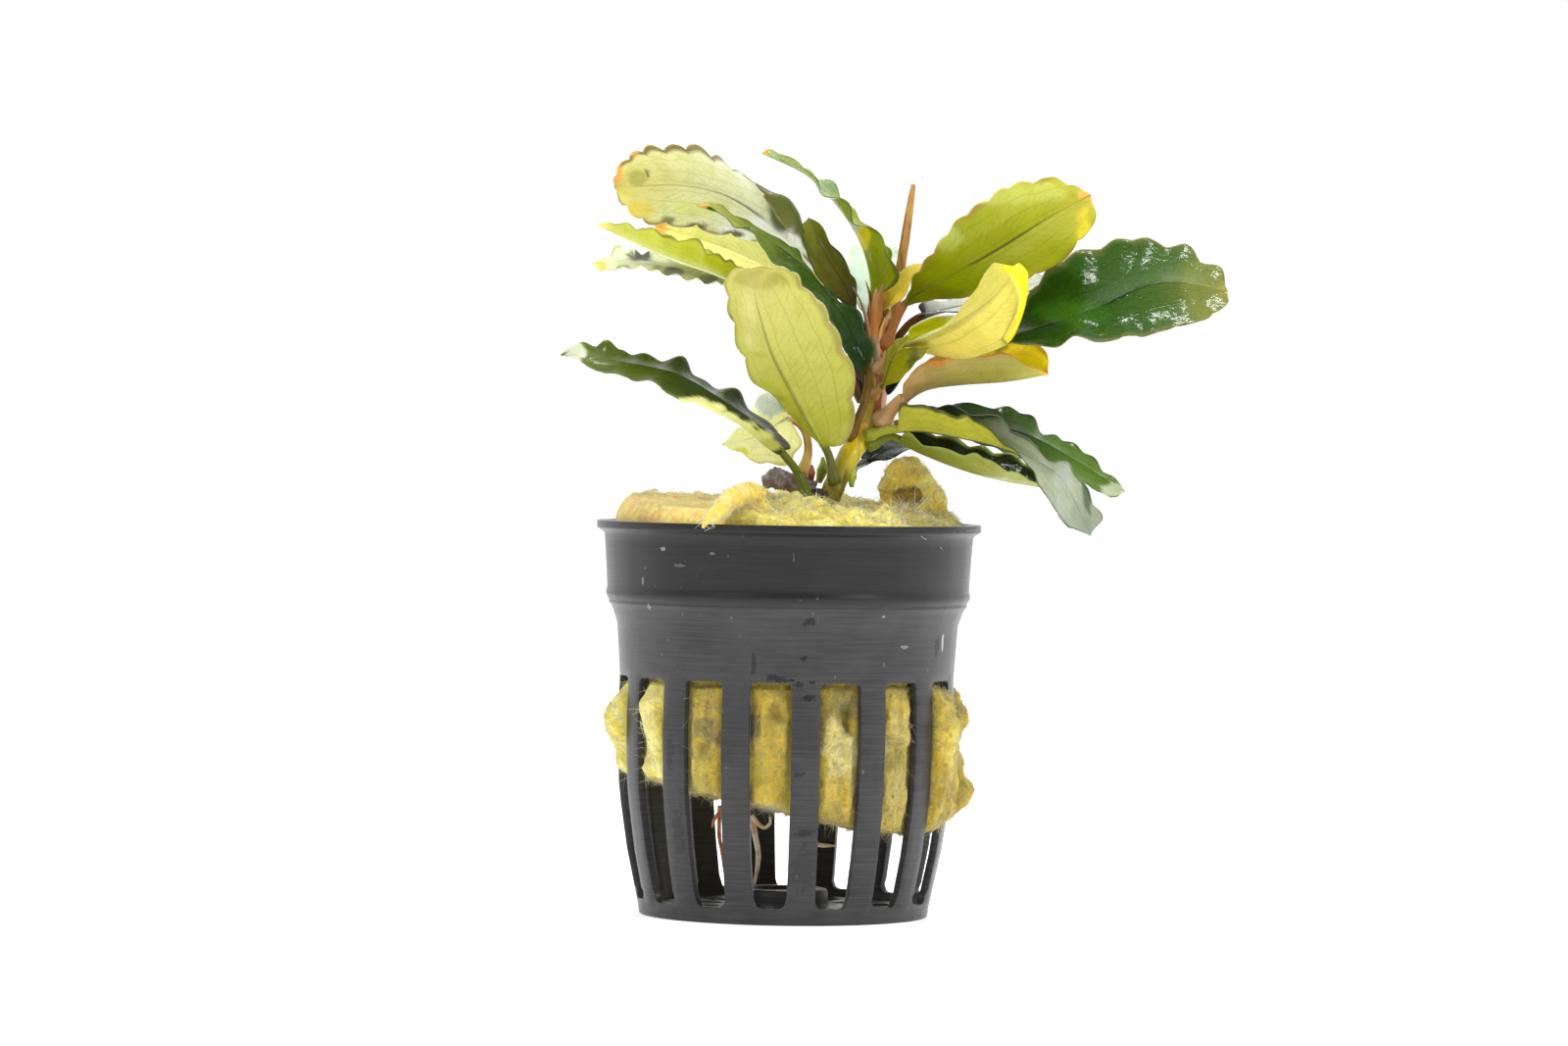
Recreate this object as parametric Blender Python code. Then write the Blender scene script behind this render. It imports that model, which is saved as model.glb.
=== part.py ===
"""A potted rainbow marble bucephalandra, an aquarium plant sold in a small net pot.

The plant creeps on yellow rock wool that is stuffed into a slotted black cup.
The pot stands at the origin on z = 0, +Z is up and the plant's show side faces -Y.
Every length below is in millimetres; the meshes are made in metres.
"""
import math

import bmesh
import bpy
import numpy as np

MM = 0.001

# The pot: a two inch net cup
POT_HEIGHT = 54.0
FLOOR_RADIUS = 20.05
WALL_RADIUS = 23.0       # beside the slots
SLOT_PITCH = 24.0        # degrees
SLOTS_IN_GROUP = 7       # a group at the front and one at the back, with a wide rib between them
GROUP_STARTS = [-77.3, 104.7]    # first slot of each group, in degrees from the front (-Y) towards +X
RIB_WIDTH = 3.9
SLOT_BOTTOM = 2.2
SLOT_TOP = 32.8
FLOOR_THICK = 1.2
HUB_RADIUS = 6.3
HUB_HEIGHT = 3.6
HUB_DRAFT = 0.2
FLOOR_SLOT_IN = 9.0
FLOOR_SLOT_OUT = 15.5
# Outer radius and height, then inner radius and height, from the foot up to the lip
POT_WALL = [
    (19.85, 0.0, 18.9, 0.0),
    (FLOOR_RADIUS, FLOOR_THICK, 19.0, FLOOR_THICK),
    (20.25, SLOT_BOTTOM, 19.15, SLOT_BOTTOM),
    (21.7, 9.0, 20.6, 9.0),
    (22.9, 17.0, 21.8, 17.0),
    (23.2, 25.0, 22.1, 25.0),
    (WALL_RADIUS, SLOT_TOP, 21.9, SLOT_TOP),
    (23.5, 40.0, 22.5, 40.0),
    (24.2, 42.1, 23.1, 42.3),
    (24.8, 42.9, 23.7, 43.1),
    (25.4, 52.4, 24.4, 52.2),
    (26.5, 53.0, 24.6, 53.2),
    (26.5, 53.6, 24.9, POT_HEIGHT),
]

# The rock wool: its distance from the pot's inner wall and the height of its slanting foot
WOOL_CLEARANCE = 0.5
WOOL_SLOPE = -0.2        # the foot rises to the left
WOOL_FOOT_MID = 15.4
WOOL_FOOT_LOW = 11.8
WOOL_FOOT_HIGH = 19.2
# How far the wool swells past the inner wall in each slot, from the front left round to the back left
WOOL_WADS = [2.9, 1.9, 0.9, 0.6, 0.5, 0.9, 4.4, 5.0, 1.6, 0.7, 1.2, 0.5, 1.4, 2.6]

# The stem's centreline and radii; the leaves leave it at a height and a heading
STEM_ROUTE = [(5.5, -3, 57.5), (6.5, -3, 60), (8.5, -2, 64), (10.5, -1, 67), (11.5, 0, 71.5),
              (11.5, 0, 76), (11.5, 0.5, 80), (11.5, 0.5, 85.5)]
STEM_RADII = [1.5, 1.5, 1.5, 1.5, 1.3, 1.15, 0.95, 0.35]
RHIZOME_ROUTE = [(-3.5, -1.5, 59.5), (-2, -2, 60), (0, -2, 59.5), (2, -2.5, 59), (3.5, -2.5, 58.5)]
RHIZOME_RADII = [0.8, 1.45, 1.2, 1.5, 1.2]

PETIOLE_RADIUS = 0.55
PETIOLE_GAP = 0.4        # between a petiole's foot and the stem
BLADE_THICK = 0.6
BLADE_END = 0.985        # share of the route where the blade's last ring lies
STATIONS_PER_WAVE = 2
PETIOLE_STEP = 0.1       # share of the route between the petiole's rings
RING = 8


class Leaf:
    """One leaf: where it leaves the stem, its route and the shape of its blade."""

    def __init__(self, route, widths, face, blade=0.25, height=None, heading=None, tip_face=None,
                 fold=12.0, waves=6, ripple=0.8, peak=1.0, fullness=0.6, petiole=PETIOLE_RADIUS,
                 colour="pale"):
        self.route = route            # from the petiole's foot, or from just past it, to the tip
        self.widths = widths          # widest half widths left and right of the midrib
        self.face = face              # the way the upper face looks at the base
        self.tip_face = tip_face or face
        self.blade = blade            # share of the route that is petiole
        self.height = height          # of the node on the stem
        self.heading = heading        # degrees about +Z from +X
        self.fold = fold              # degrees by which each half rises from the midrib
        self.waves = waves            # ripples along each margin
        self.ripple = ripple          # height of the ripples
        self.peak = peak              # above 1 the widest place moves to the tip
        self.fullness = fullness      # below 1 the outline is blunter
        self.petiole = petiole
        self.colour = colour


LEAVES = {
    "leaf_upper_left": Leaf(
        height=77.3, heading=150, blade=0.22, widths=(5.7, 7.2), face=(0.1, 0.9, 0.35),
        route=[(8.5, 4.5, 83), (2.5, 6.5, 90), (-2.5, 7.5, 94.5), (-9, 8, 99), (-16, 8.5, 100.5),
               (-25, 8, 100)],
        fold=8, waves=7, ripple=0.7, peak=1.8, fullness=0.5, colour="pale"),
    "leaf_upper_left_back": Leaf(
        height=75.3, heading=110, blade=0.3, widths=(4.6, 4.6), face=(0.1, 0.9, 0.4),
        route=[(5.5, 10, 83), (-1, 13, 88), (-8, 15, 91.5), (-14, 16.5, 93.5), (-19.5, 17, 95)],
        waves=5, colour="pale"),
    "leaf_left_lime": Leaf(
        height=72.0, heading=165, blade=0.3, widths=(5.6, 5.0), face=(0.2, 0.35, 0.9), fold=50,
        route=[(5.5, -0.5, 79), (-1, -2.5, 83.5), (-9.5, -4.5, 87.5), (-15.5, -5.5, 89.5),
               (-20.5, -5.5, 91.5), (-27, -5.5, 94.5)],
        waves=6, ripple=0.9, colour="lime"),
    "leaf_left_pale": Leaf(
        height=73.6, heading=130, blade=0.3, widths=(4.5, 4.5), face=(0.1, 0.3, 0.95),
        route=[(4.5, 6, 79), (-4, 7.5, 85), (-14.5, 8, 88.5), (-22.5, 7.5, 89.5), (-28, 7.5, 89.5)],
        waves=6, ripple=1.1, colour="pale"),
    "leaf_dark_upper_left": Leaf(
        height=66.6, heading=-140, blade=0.3, widths=(2.9, 3.3), face=(0.5, -0.6, 0.6),
        route=[(10, -4, 70.5), (10.5, -4, 74.5), (9, -4, 78.5), (6.5, -2.5, 83), (3, -1.5, 87.5),
               (-1.5, 0, 91.5), (-6.5, 1.5, 94.5), (-10, 2, 96.5), (-13.5, 3, 97.5)],
        waves=6, ripple=0.7, peak=0.75, colour="dark"),
    "leaf_olive_upper": Leaf(
        height=78.4, heading=-170, blade=0.15, widths=(3.0, 3.0), face=(0.3, -0.95, 0.3),
        route=[(8.5, 1.5, 83), (7, 3, 87), (4.5, 4, 91), (2, 5, 96)],
        waves=4, ripple=0.3, colour="olive"),
    "leaf_thin_top": Leaf(
        height=81.2, heading=120, blade=0.1, widths=(3.4, 3.4), face=(0.7, -0.35, 0.6),
        route=[(11, 3, 87.5), (8.5, 3.5, 94.5), (2.5, 4.5, 101.5), (-4.5, 5, 105)],
        waves=5, ripple=0.9, colour="lime"),
    "leaf_back_pale": Leaf(
        height=79.0, heading=85, blade=0.2, widths=(4.2, 4.2), face=(0.0, -0.5, 0.85),
        route=[(12, 9, 84.5), (11.5, 15, 89.5), (11.5, 20, 94.5)],
        waves=4, colour="pale"),
    "leaf_upper_right": Leaf(
        height=79.3, heading=-30, blade=0.15, widths=(6.8, 7.7), face=(-0.3, 0.9, 0.35),
        route=[(16, -2.5, 85), (21, -4, 88), (28, -5, 92), (35, -6, 96.5), (40.5, -6, 99.5)],
        waves=6, ripple=0.5, fold=10, peak=1.35, colour="green"),
    "leaf_young": Leaf(
        height=81.0, heading=10, blade=0.1, widths=(1.2, 1.2), face=(-0.5, 0.1, 0.8), fold=40,
        route=[(13.5, 1.5, 84.5), (16, 2, 87.5), (18.5, 2, 90)],
        waves=2, ripple=0.1, petiole=0.5, colour="orange"),
    "leaf_right_glossy": Leaf(
        height=73.2, heading=-20, blade=0.28, widths=(8.6, 8.8), face=(-0.1, -0.65, 0.75),
        route=[(18, -6.5, 78), (24, -10, 79), (30, -11.5, 80), (40.5, -13, 83.5), (49.5, -13, 87.5),
               (59, -12, 86.5)],
        waves=7, ripple=0.8, peak=1.15, fullness=0.52, colour="dark"),
    "leaf_front_yellow": Leaf(
        height=75.6, heading=-70, blade=0.25, widths=(6.0, 3.6), face=(-0.25, 0.95, 0.15),
        route=[(14.5, -6.5, 78), (18.5, -12, 79.5), (23, -17, 82), (27, -20, 85), (30, -22, 89)],
        waves=4, ripple=0.4, fold=15, peak=1.4, fullness=0.5, colour="yellow"),
    "leaf_lower_right_olive": Leaf(
        height=68.6, heading=-45, blade=0.16, widths=(4.6, 4.9), face=(0.1, 0.35, 0.9), fold=45,
        route=[(14.5, -4, 70.5), (16.5, -5, 72), (19, -6, 73), (23, -7, 73.5), (29.5, -8, 74),
               (35, -8, 75)],
        waves=4, ripple=0.4, peak=1.2, fullness=0.5, petiole=0.9, colour="olive"),
    "leaf_small_front": Leaf(
        height=71.8, heading=-95, blade=0.25, widths=(2.9, 2.9), face=(-0.5, 0.6, 0.5),
        route=[(12.5, -5.5, 73), (13, -8.5, 75), (13.5, -11, 76.5), (14.5, -13, 78)],
        waves=2, ripple=0.2, fold=30, fullness=0.5, colour="olive"),
    "leaf_edge_on_right": Leaf(
        height=77.3, heading=30, blade=0.35, widths=(5.2, 5.2), face=(-0.2, -0.12, 0.95),
        route=[(14.5, 2, 79.5), (17.5, 2.5, 82.5), (24.5, 4, 84.5), (35, 6, 88)],
        waves=4, ripple=0.3, colour="dark"),
    "leaf_lime_right": Leaf(
        height=75.6, heading=0, blade=0.25, widths=(3.0, 3.0), face=(-0.4, 0.6, 0.7),
        route=[(14.5, 0, 78), (17, -1, 80), (22.5, -1, 82), (30, 0, 83.5)],
        waves=3, ripple=0.2, fold=20, colour="lime"),
    "leaf_low_right_back": Leaf(
        height=67.0, heading=35, blade=0.15, widths=(4.6, 4.6), face=(0.1, -0.6, 0.8),
        route=[(15.5, 3, 68), (20, 4, 68.5), (26, 5, 68), (33, 6, 66.5), (40.5, 6, 62.5), (46.5, 5, 59)],
        waves=6, ripple=0.7, colour="dark"),
    "leaf_low_right": Leaf(
        height=66.4, heading=-60, blade=0.1, widths=(4.6, 5.0), face=(0.1, 0.5, 0.85),
        tip_face=(0.6, -0.8, 0.4),
        route=[(14, -4.5, 67), (18.5, -7, 67), (24, -9.5, 66), (28.5, -11, 65), (32.5, -12, 63.5),
               (36.5, -12.5, 61), (39, -12, 57), (41, -11, 53)],
        waves=6, ripple=0.8, fold=25, peak=0.95, fullness=0.42, colour="silver"),
    "leaf_low_right_under": Leaf(
        height=65.2, heading=-20, blade=0.15, widths=(4.2, 3.6), face=(0.1, 0.3, 0.9), fold=40,
        route=[(14, -3, 66), (18, -4.5, 64), (23, -5.5, 62), (28.5, -6, 60.5), (34.5, -6.5, 59.5)],
        waves=5, ripple=0.7, colour="dark"),
    "leaf_low_back": Leaf(
        height=61.6, heading=60, blade=0.3, widths=(4.0, 4.0), face=(-0.1, -0.45, 0.85),
        route=[(10.5, 4.5, 62.5), (13.5, 7, 64), (16, 10, 64.5), (19.5, 13, 64)],
        waves=3, ripple=0.4, colour="dark"),
    "leaf_low_left": Leaf(
        blade=0.16, widths=(4.2, 3.7), face=(0.2, -0.75, 0.65),
        route=[(2, -5, 58.5), (1, -5, 61), (-1, -6, 63.5), (-4, -7, 67), (-10, -8, 71),
               (-15.5, -8.5, 74), (-22.5, -9, 75.5), (-31.5, -8, 76.5)],
        waves=7, ripple=0.7, peak=1.4, colour="dark"),
    "leaf_front": Leaf(
        height=60.6, heading=-110, blade=0.14, widths=(10.0, 5.5), face=(0.25, 0.95, 0.1), fold=14,
        route=[(5, -6, 64), (2, -8.5, 68.5), (-2.5, -12, 76.5), (-4.5, -14.5, 82.5), (-6, -15.5, 88.5)],
        waves=7, ripple=0.6, peak=0.95, fullness=0.48, colour="pale"),
    "leaf_low_left_pale": Leaf(
        blade=0.45, widths=(4.6, 4.6), face=(0.3, 0.75, 0.5),
        route=[(2, 0.5, 61.5), (2.5, 2, 64), (2, 3, 66.5), (0.5, 3.5, 68), (-1.5, 4.5, 67.5),
               (-5, 6, 65.5), (-9.5, 7, 64.5)],
        waves=4, ripple=0.5, fullness=0.5, colour="pale"),
}

# Slim round pieces: route, radii along it and colour
SHOOTS = {
    "spike": ([(13, 2.5, 79), (14, 4, 82.5), (15, 5, 90), (16.5, 6, 101)], [0.5, 0.7, 0.75, 0.2], "brown"),
    "bud_green": ([(4, 0, 59.5), (4.5, 0, 61.5), (4.5, 0.5, 63)], [0.4, 0.8, 0.2], "lime"),
    "bud_red": ([(3, -4.5, 60), (3, -5, 61), (3, -5, 62)], [0.35, 0.5, 0.15], "brown"),
    "shoot_sliver": ([(8.5, -5, 59), (8.5, -5, 60), (9, -5, 62)], [0.3, 0.55, 0.15], "lime"),
}
ROOTS = {
    "root_white": ([(-4.5, -2, 13.5), (-4, -3, 11), (-3.5, -3, 8), (-4, -2, 4)],
                   [0.45, 0.4, 0.35, 0.2], "cream"),
    "root_orange": ([(-8, 3, 15), (-9.5, 3, 13), (-10, 4, 11.5)], [0.3, 0.25, 0.15], "orange"),
    "root_orange_long": ([(-9, 4.5, 14.5), (-9, 5, 10.5), (-8.5, 5, 7.5), (-8, 5, 4)],
                         [0.3, 0.3, 0.25, 0.15], "orange"),
    "root_pink": ([(3, -5, 12), (4, -5.5, 10.5), (5, -6, 10), (7, -7, 10)], [0.4, 0.35, 0.3, 0.15], "cream"),
    "root_curl": ([(-4.5, -8, 14), (-3, -8.5, 12.5), (-2, -9, 13), (-2, -9.5, 14)],
                  [0.3, 0.3, 0.25, 0.15], "cream"),
}
WOOL_STRIP_ROUTE = [(-4, -19, 58), (-6.5, -21.5, 58), (-9, -24.5, 56), (-11, -27.5, 54.5)]
WOOL_STRIP_RADII = [0.8, 1.2, 1.2, 0.8]
WOOL_FLAP_ROUTE = [(12.5, 1.5, 60), (15, 2, 60), (18, 2.5, 60), (21, 2.5, 58.5)]
WOOL_FLAP_RADII = [1.3, 2.8, 3.0, 1.6]

# Base colour and roughness of each finish
FINISHES = {
    "black_plastic": ((0.035, 0.035, 0.037), 0.45),
    "wool": ((0.62, 0.55, 0.16), 0.95),
    "pale": ((0.62, 0.66, 0.22), 0.4),
    "lime": ((0.42, 0.56, 0.05), 0.4),
    "green": ((0.24, 0.38, 0.03), 0.4),
    "olive": ((0.20, 0.21, 0.05), 0.4),
    "dark": ((0.02, 0.08, 0.02), 0.25),
    "silver": ((0.16, 0.22, 0.18), 0.3),
    "yellow": ((0.80, 0.72, 0.12), 0.4),
    "orange": ((0.62, 0.30, 0.10), 0.45),
    "brown": ((0.30, 0.14, 0.05), 0.5),
    "stem": ((0.40, 0.33, 0.07), 0.4),
    "rhizome": ((0.34, 0.28, 0.27), 0.6),
    "cream": ((0.80, 0.70, 0.52), 0.5),
}


def clear_scene():
    for thing in list(bpy.data.objects):
        bpy.data.objects.remove(thing, do_unlink=True)


def finish(name):
    """The named finish as a Principled material, made once."""
    if name in bpy.data.materials:
        return bpy.data.materials[name]
    colour, roughness = FINISHES[name]
    material = bpy.data.materials.new(name)
    material.use_nodes = True
    shader = material.node_tree.nodes["Principled BSDF"]
    shader.inputs["Base Color"].default_value = (*colour, 1.0)
    shader.inputs["Roughness"].default_value = roughness
    return material


def add_object(name, points, faces, finish_name):
    """An object from points in millimetres, with its faces turned outwards."""
    mesh = bpy.data.meshes.new(name)
    mesh.from_pydata([tuple(c * MM for c in point) for point in points], [], faces)
    shape = bmesh.new()
    shape.from_mesh(mesh)
    bmesh.ops.triangulate(shape, faces=shape.faces)
    bmesh.ops.recalc_face_normals(shape, faces=shape.faces)
    shape.to_mesh(mesh)
    shape.free()
    mesh.shade_smooth()
    mesh.set_sharp_from_angle(angle=math.radians(35))
    mesh.materials.append(finish(finish_name))
    thing = bpy.data.objects.new(name, mesh)
    bpy.context.collection.objects.link(thing)
    return thing


def unit(vector):
    return vector / np.linalg.norm(vector)


def smooth_route(points, samples=240):
    """Dense points at even steps on a Catmull-Rom curve through the given points."""
    knots = np.array(points, float)
    ends = np.vstack([2 * knots[0] - knots[1], knots, 2 * knots[-1] - knots[-2]])
    dense = []
    per_span = 24
    for i in range(len(knots) - 1):
        a, b, c, d = ends[i:i + 4]
        for t in np.linspace(0, 1, per_span, endpoint=False):
            dense.append(0.5 * (2 * b + (c - a) * t + (2 * a - 5 * b + 4 * c - d) * t ** 2
                                + (3 * b - a - 3 * c + d) * t ** 3))
    dense = np.array(dense + [knots[-1]])
    run = np.concatenate([[0], np.cumsum(np.linalg.norm(np.diff(dense, axis=0), axis=1))])
    even = np.linspace(0, run[-1], samples)
    return np.stack([np.interp(even, run, dense[:, k]) for k in range(3)], axis=1)


def on_route(route, share):
    """The point and the heading at a share of the way along a dense route."""
    place = share * (len(route) - 1)
    i = min(int(place), len(route) - 2)
    point = route[i] + (route[i + 1] - route[i]) * (place - i)
    lo = max(i - 3, 0)
    hi = min(i + 4, len(route) - 1)
    return point, unit(route[hi] - route[lo])


def tube(name, points, radii, sides, stations, finish_name):
    """A closed round tube along a route, pointed or blunt as its radii say."""
    route = smooth_route(points)
    verts = []
    up = np.array([0.2, 0.9, 0.4])
    for share in np.linspace(0, 1, stations):
        centre, along = on_route(route, share)
        side = unit(np.cross(along, up))
        over = np.cross(side, along)
        radius = np.interp(share, np.linspace(0, 1, len(radii)), radii)
        for k in range(sides):
            turn = 2 * math.pi * k / sides
            verts.append(centre + radius * (side * math.cos(turn) + over * math.sin(turn)))
    return add_object(name, verts, ring_faces(stations, sides), finish_name)


def ring_faces(stations, sides):
    """Quads between neighbouring rings, with a flat cap on the first and the last."""
    faces = []
    for i in range(stations - 1):
        for k in range(sides):
            nxt = (k + 1) % sides
            faces.append((i * sides + k, i * sides + nxt, (i + 1) * sides + nxt, (i + 1) * sides + k))
    faces.append(tuple(range(sides)))
    faces.append(tuple((stations - 1) * sides + k for k in range(sides)))
    return faces


def stem_at(height):
    """Centre and radius of the stem at a height."""
    route = smooth_route(STEM_ROUTE)
    centre = np.array([np.interp(height, route[:, 2], route[:, k]) for k in range(3)])
    heights = [point[2] for point in STEM_ROUTE]
    return centre, np.interp(height, heights, STEM_RADII)


def leaf_route(leaf):
    """The leaf's dense route, from its foot on the stem when it has one."""
    if leaf.height is None:
        return smooth_route(leaf.route)
    centre, radius = stem_at(leaf.height)
    turn = math.radians(leaf.heading)
    out = np.array([math.cos(turn), math.sin(turn), 0.0])
    foot = centre + out * (radius + PETIOLE_GAP + leaf.petiole)
    return smooth_route([foot] + leaf.route)


def add_leaf(name, leaf):
    """A leaf as a thin closed lens on a round petiole, with rippled margins."""
    route = leaf_route(leaf)
    blade_stations = leaf.waves * STATIONS_PER_WAVE + 1
    petiole_stations = max(2, round(leaf.blade / PETIOLE_STEP))
    shares = list(np.linspace(0, leaf.blade, petiole_stations, endpoint=False))
    shares += list(np.linspace(leaf.blade, BLADE_END, blade_stations))
    face_base = np.array(leaf.face, float)
    face_tip = np.array(leaf.tip_face, float)
    verts = []
    for share in shares:
        centre, along = on_route(route, share)
        t = max(0.0, (share - leaf.blade) / (1 - leaf.blade))
        hint = face_base * (1 - t) + face_tip * t
        over = unit(hint - along * hint.dot(along))
        side = np.cross(along, over)
        profile = math.sin(math.pi * t ** leaf.peak) ** leaf.fullness if 0 < t < 1 else 0.0
        thick = leaf.petiole + (BLADE_THICK / 2 - leaf.petiole) * min(1.0, t * 5)
        fold = math.radians(leaf.fold)
        for k in range(RING):
            turn = 2 * math.pi * k / RING
            v = math.cos(turn)
            half = max(leaf.petiole * (1 - 0.6 * t), leaf.widths[1 if v > 0 else 0] * profile)
            phase = 0.0 if v > 0 else 0.25
            wave = math.cos(2 * math.pi * (leaf.waves * t + phase)) * abs(v) ** 3
            lift = abs(v) * half * math.sin(fold) * profile + leaf.ripple * wave * profile
            reach = v * half * (1 - (1 - math.cos(fold)) * profile)
            depth = thick * math.sin(turn)
            verts.append(centre + side * reach + over * (lift + depth))
    return add_object(name, verts, ring_faces(len(shares), RING), leaf.colour)


def slot_middles():
    """The middle of each slot, in degrees from the front, from the front left round to the back left."""
    return [start + SLOT_PITCH * n for start in GROUP_STARTS for n in range(SLOTS_IN_GROUP)]


def pot_angles(radius):
    """Three columns for each slot: its first edge, its middle and its last edge, at a radius."""
    half = SLOT_PITCH / 2 - math.degrees(RIB_WIDTH / 2 / radius)
    return [middle + side * half for middle in slot_middles() for side in (-1, 0, 1)]


def around(angle, radius, height):
    """A point from its angle from the front, towards +X."""
    turn = math.radians(angle)
    return radius * math.sin(turn), -radius * math.cos(turn), height


def add_pot():
    """The cup as the filled cells of a round grid: a slotted wall on a slotted floor."""
    count = 3 * len(slot_middles())
    floor_rings = [HUB_RADIUS, FLOOR_SLOT_IN, FLOOR_SLOT_OUT]
    wall_cell = len(floor_rings)
    levels = len(POT_WALL)

    def filled(i, j, k):
        """True where plastic fills the cell past angle i, ring j and level k."""
        in_slot = i % 3 != 2
        if j < 0 or j > wall_cell or k < 0 or k >= levels - 1:
            return False
        if j < wall_cell:
            return k == 0 and not (in_slot and j == 1)
        return not (in_slot and SLOT_BOTTOM <= POT_WALL[k][1] < SLOT_TOP)

    def corner(i, j, k):
        outer_radius, outer_height, inner_radius, inner_height = POT_WALL[k]
        angle = pot_angles(outer_radius)[i]
        if j < len(floor_rings):
            return around(angle, floor_rings[j], outer_height)
        if j == wall_cell:
            return around(angle, inner_radius, inner_height)
        return around(angle, outer_radius, outer_height)

    index = {}
    verts = []
    faces = []

    def vert(i, j, k):
        key = (i % count, j, k)
        if key not in index:
            index[key] = len(verts)
            verts.append(corner(*key))
        return index[key]

    for i in range(count):
        for j in range(wall_cell + 1):
            for k in range(levels - 1):
                if not filled(i, j, k):
                    continue
                if not filled(i, j + 1, k):
                    faces.append([vert(i, j + 1, k), vert(i + 1, j + 1, k),
                                  vert(i + 1, j + 1, k + 1), vert(i, j + 1, k + 1)])
                if j > 0 and not filled(i, j - 1, k):
                    faces.append([vert(i, j, k), vert(i, j, k + 1),
                                  vert(i + 1, j, k + 1), vert(i + 1, j, k)])
                if not filled(i, j, k + 1):
                    faces.append([vert(i, j, k + 1), vert(i, j + 1, k + 1),
                                  vert(i + 1, j + 1, k + 1), vert(i + 1, j, k + 1)])
                if not filled(i, j, k - 1):
                    faces.append([vert(i, j, k), vert(i + 1, j, k),
                                  vert(i + 1, j + 1, k), vert(i, j + 1, k)])
                if not filled((i + 1) % count, j, k):
                    faces.append([vert(i + 1, j, k), vert(i + 1, j, k + 1),
                                  vert(i + 1, j + 1, k + 1), vert(i + 1, j + 1, k)])
                if not filled((i - 1) % count, j, k):
                    faces.append([vert(i, j, k), vert(i, j + 1, k),
                                  vert(i, j + 1, k + 1), vert(i, j, k + 1)])
    hub = len(verts)
    verts += [around(angle, HUB_RADIUS - HUB_DRAFT, HUB_HEIGHT) for angle in pot_angles(FLOOR_RADIUS)]
    for i in range(count):
        nxt = (i + 1) % count
        faces.append([vert(i, 0, 1), vert(nxt, 0, 1), hub + nxt, hub + i])
    faces.append([hub + i for i in range(count)])
    faces.append([vert(i, 0, 0) for i in reversed(range(count))])
    return add_object("net_pot", verts, faces, "black_plastic")


def wool_foot(x):
    """Height of the wool's underside, which slants down to the right."""
    return min(WOOL_FOOT_HIGH, max(WOOL_FOOT_LOW, WOOL_FOOT_MID + WOOL_SLOPE * x))


def wool_crown(x, y):
    """Height of the wool's top inside the lip: high at the left, low at the right and front."""
    lumps = 0.5 * math.sin(0.7 * x + 0.9 * y) + 0.4 * math.sin(0.5 * y - 0.8 * x)
    return 56.7 - 0.07 * x + 0.05 * y + lumps


def pot_inside(height):
    """Inner radius of the pot at a height."""
    return np.interp(height, [row[3] for row in POT_WALL], [row[2] for row in POT_WALL])


def add_wool_plug():
    """The stuffed wool: it follows the wall and swells out through the slots."""
    angles = pot_angles(WALL_RADIUS)
    count = len(angles)
    verts = []
    rows = 0
    slant_rows = [0.0, 0.14, 0.34, 0.58, 0.82, 1.0]
    upper_rows = [42.0, 52.5]

    def add_row(make):
        nonlocal rows
        for i, angle in enumerate(angles):
            verts.append(make(i, angle))
        rows += 1

    def foot_ring(radius):
        def make(i, angle):
            x, y, _ = around(angle, radius, 0)
            return x, y, wool_foot(x) - 0.4 + 0.3 * math.sin(1.3 * x + y)
        return make

    def side_ring(share):
        def make(i, angle):
            x, _, _ = around(angle, 21.0, 0)
            height = wool_foot(x) + share * (SLOT_TOP - 0.6 - wool_foot(x))
            radius = pot_inside(height) - WOOL_CLEARANCE
            if share in (0.0, 1.0):
                return around(angle, radius - 0.5, height)
            if i % 3 == 1:
                slump = math.sin(math.pi * share) ** 0.5 * (1 + 0.25 * math.sin(9 * share + 2 * i))
                radius += WOOL_WADS[i // 3] * slump
            return around(angle, radius, height)
        return make

    def upper_ring(height):
        return lambda i, angle: around(angle, pot_inside(height) - WOOL_CLEARANCE, height)

    def crown_ring(radius, drop):
        def make(i, angle):
            x, y, _ = around(angle, radius, 0)
            return x, y, wool_crown(x, y) - drop
        return make

    add_row(foot_ring(9.0))
    add_row(foot_ring(17.0))
    for share in slant_rows:
        add_row(side_ring(share))
    for height in upper_rows:
        add_row(upper_ring(height))
    add_row(crown_ring(23.6, 0.9))
    add_row(crown_ring(21.0, 0.0))
    add_row(crown_ring(14.0, 0.0))
    add_row(crown_ring(6.0, 0.2))
    return add_object("rock_wool_plug", verts, ring_faces(rows, count), "wool")


def build():
    clear_scene()
    add_pot()
    add_wool_plug()
    tube("rock_wool_strip", WOOL_STRIP_ROUTE, WOOL_STRIP_RADII, 8, 7, "wool")
    tube("rock_wool_flap", WOOL_FLAP_ROUTE, WOOL_FLAP_RADII, 8, 9, "wool")
    tube("rhizome", RHIZOME_ROUTE, RHIZOME_RADII, 8, 9, "rhizome")
    tube("stem", STEM_ROUTE, STEM_RADII, 8, 13, "stem")
    for name, leaf in LEAVES.items():
        add_leaf(name, leaf)
    for name, (route, radii, finish_name) in SHOOTS.items():
        tube(name, route, radii, 6, 7, finish_name)
    for name, (route, radii, finish_name) in ROOTS.items():
        tube(name, route, radii, 5, 7, finish_name)


build()
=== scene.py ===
"""Looks of a potted rainbow marble bucephalandra: ruffled leaves, rock wool and a scuffed net pot.

Lengths are in millimetres until a mesh is made; the pot stands at the origin and its show side faces -Y.
"""

import math

import bpy
import numpy as np
from mathutils import Matrix, Vector


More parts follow.
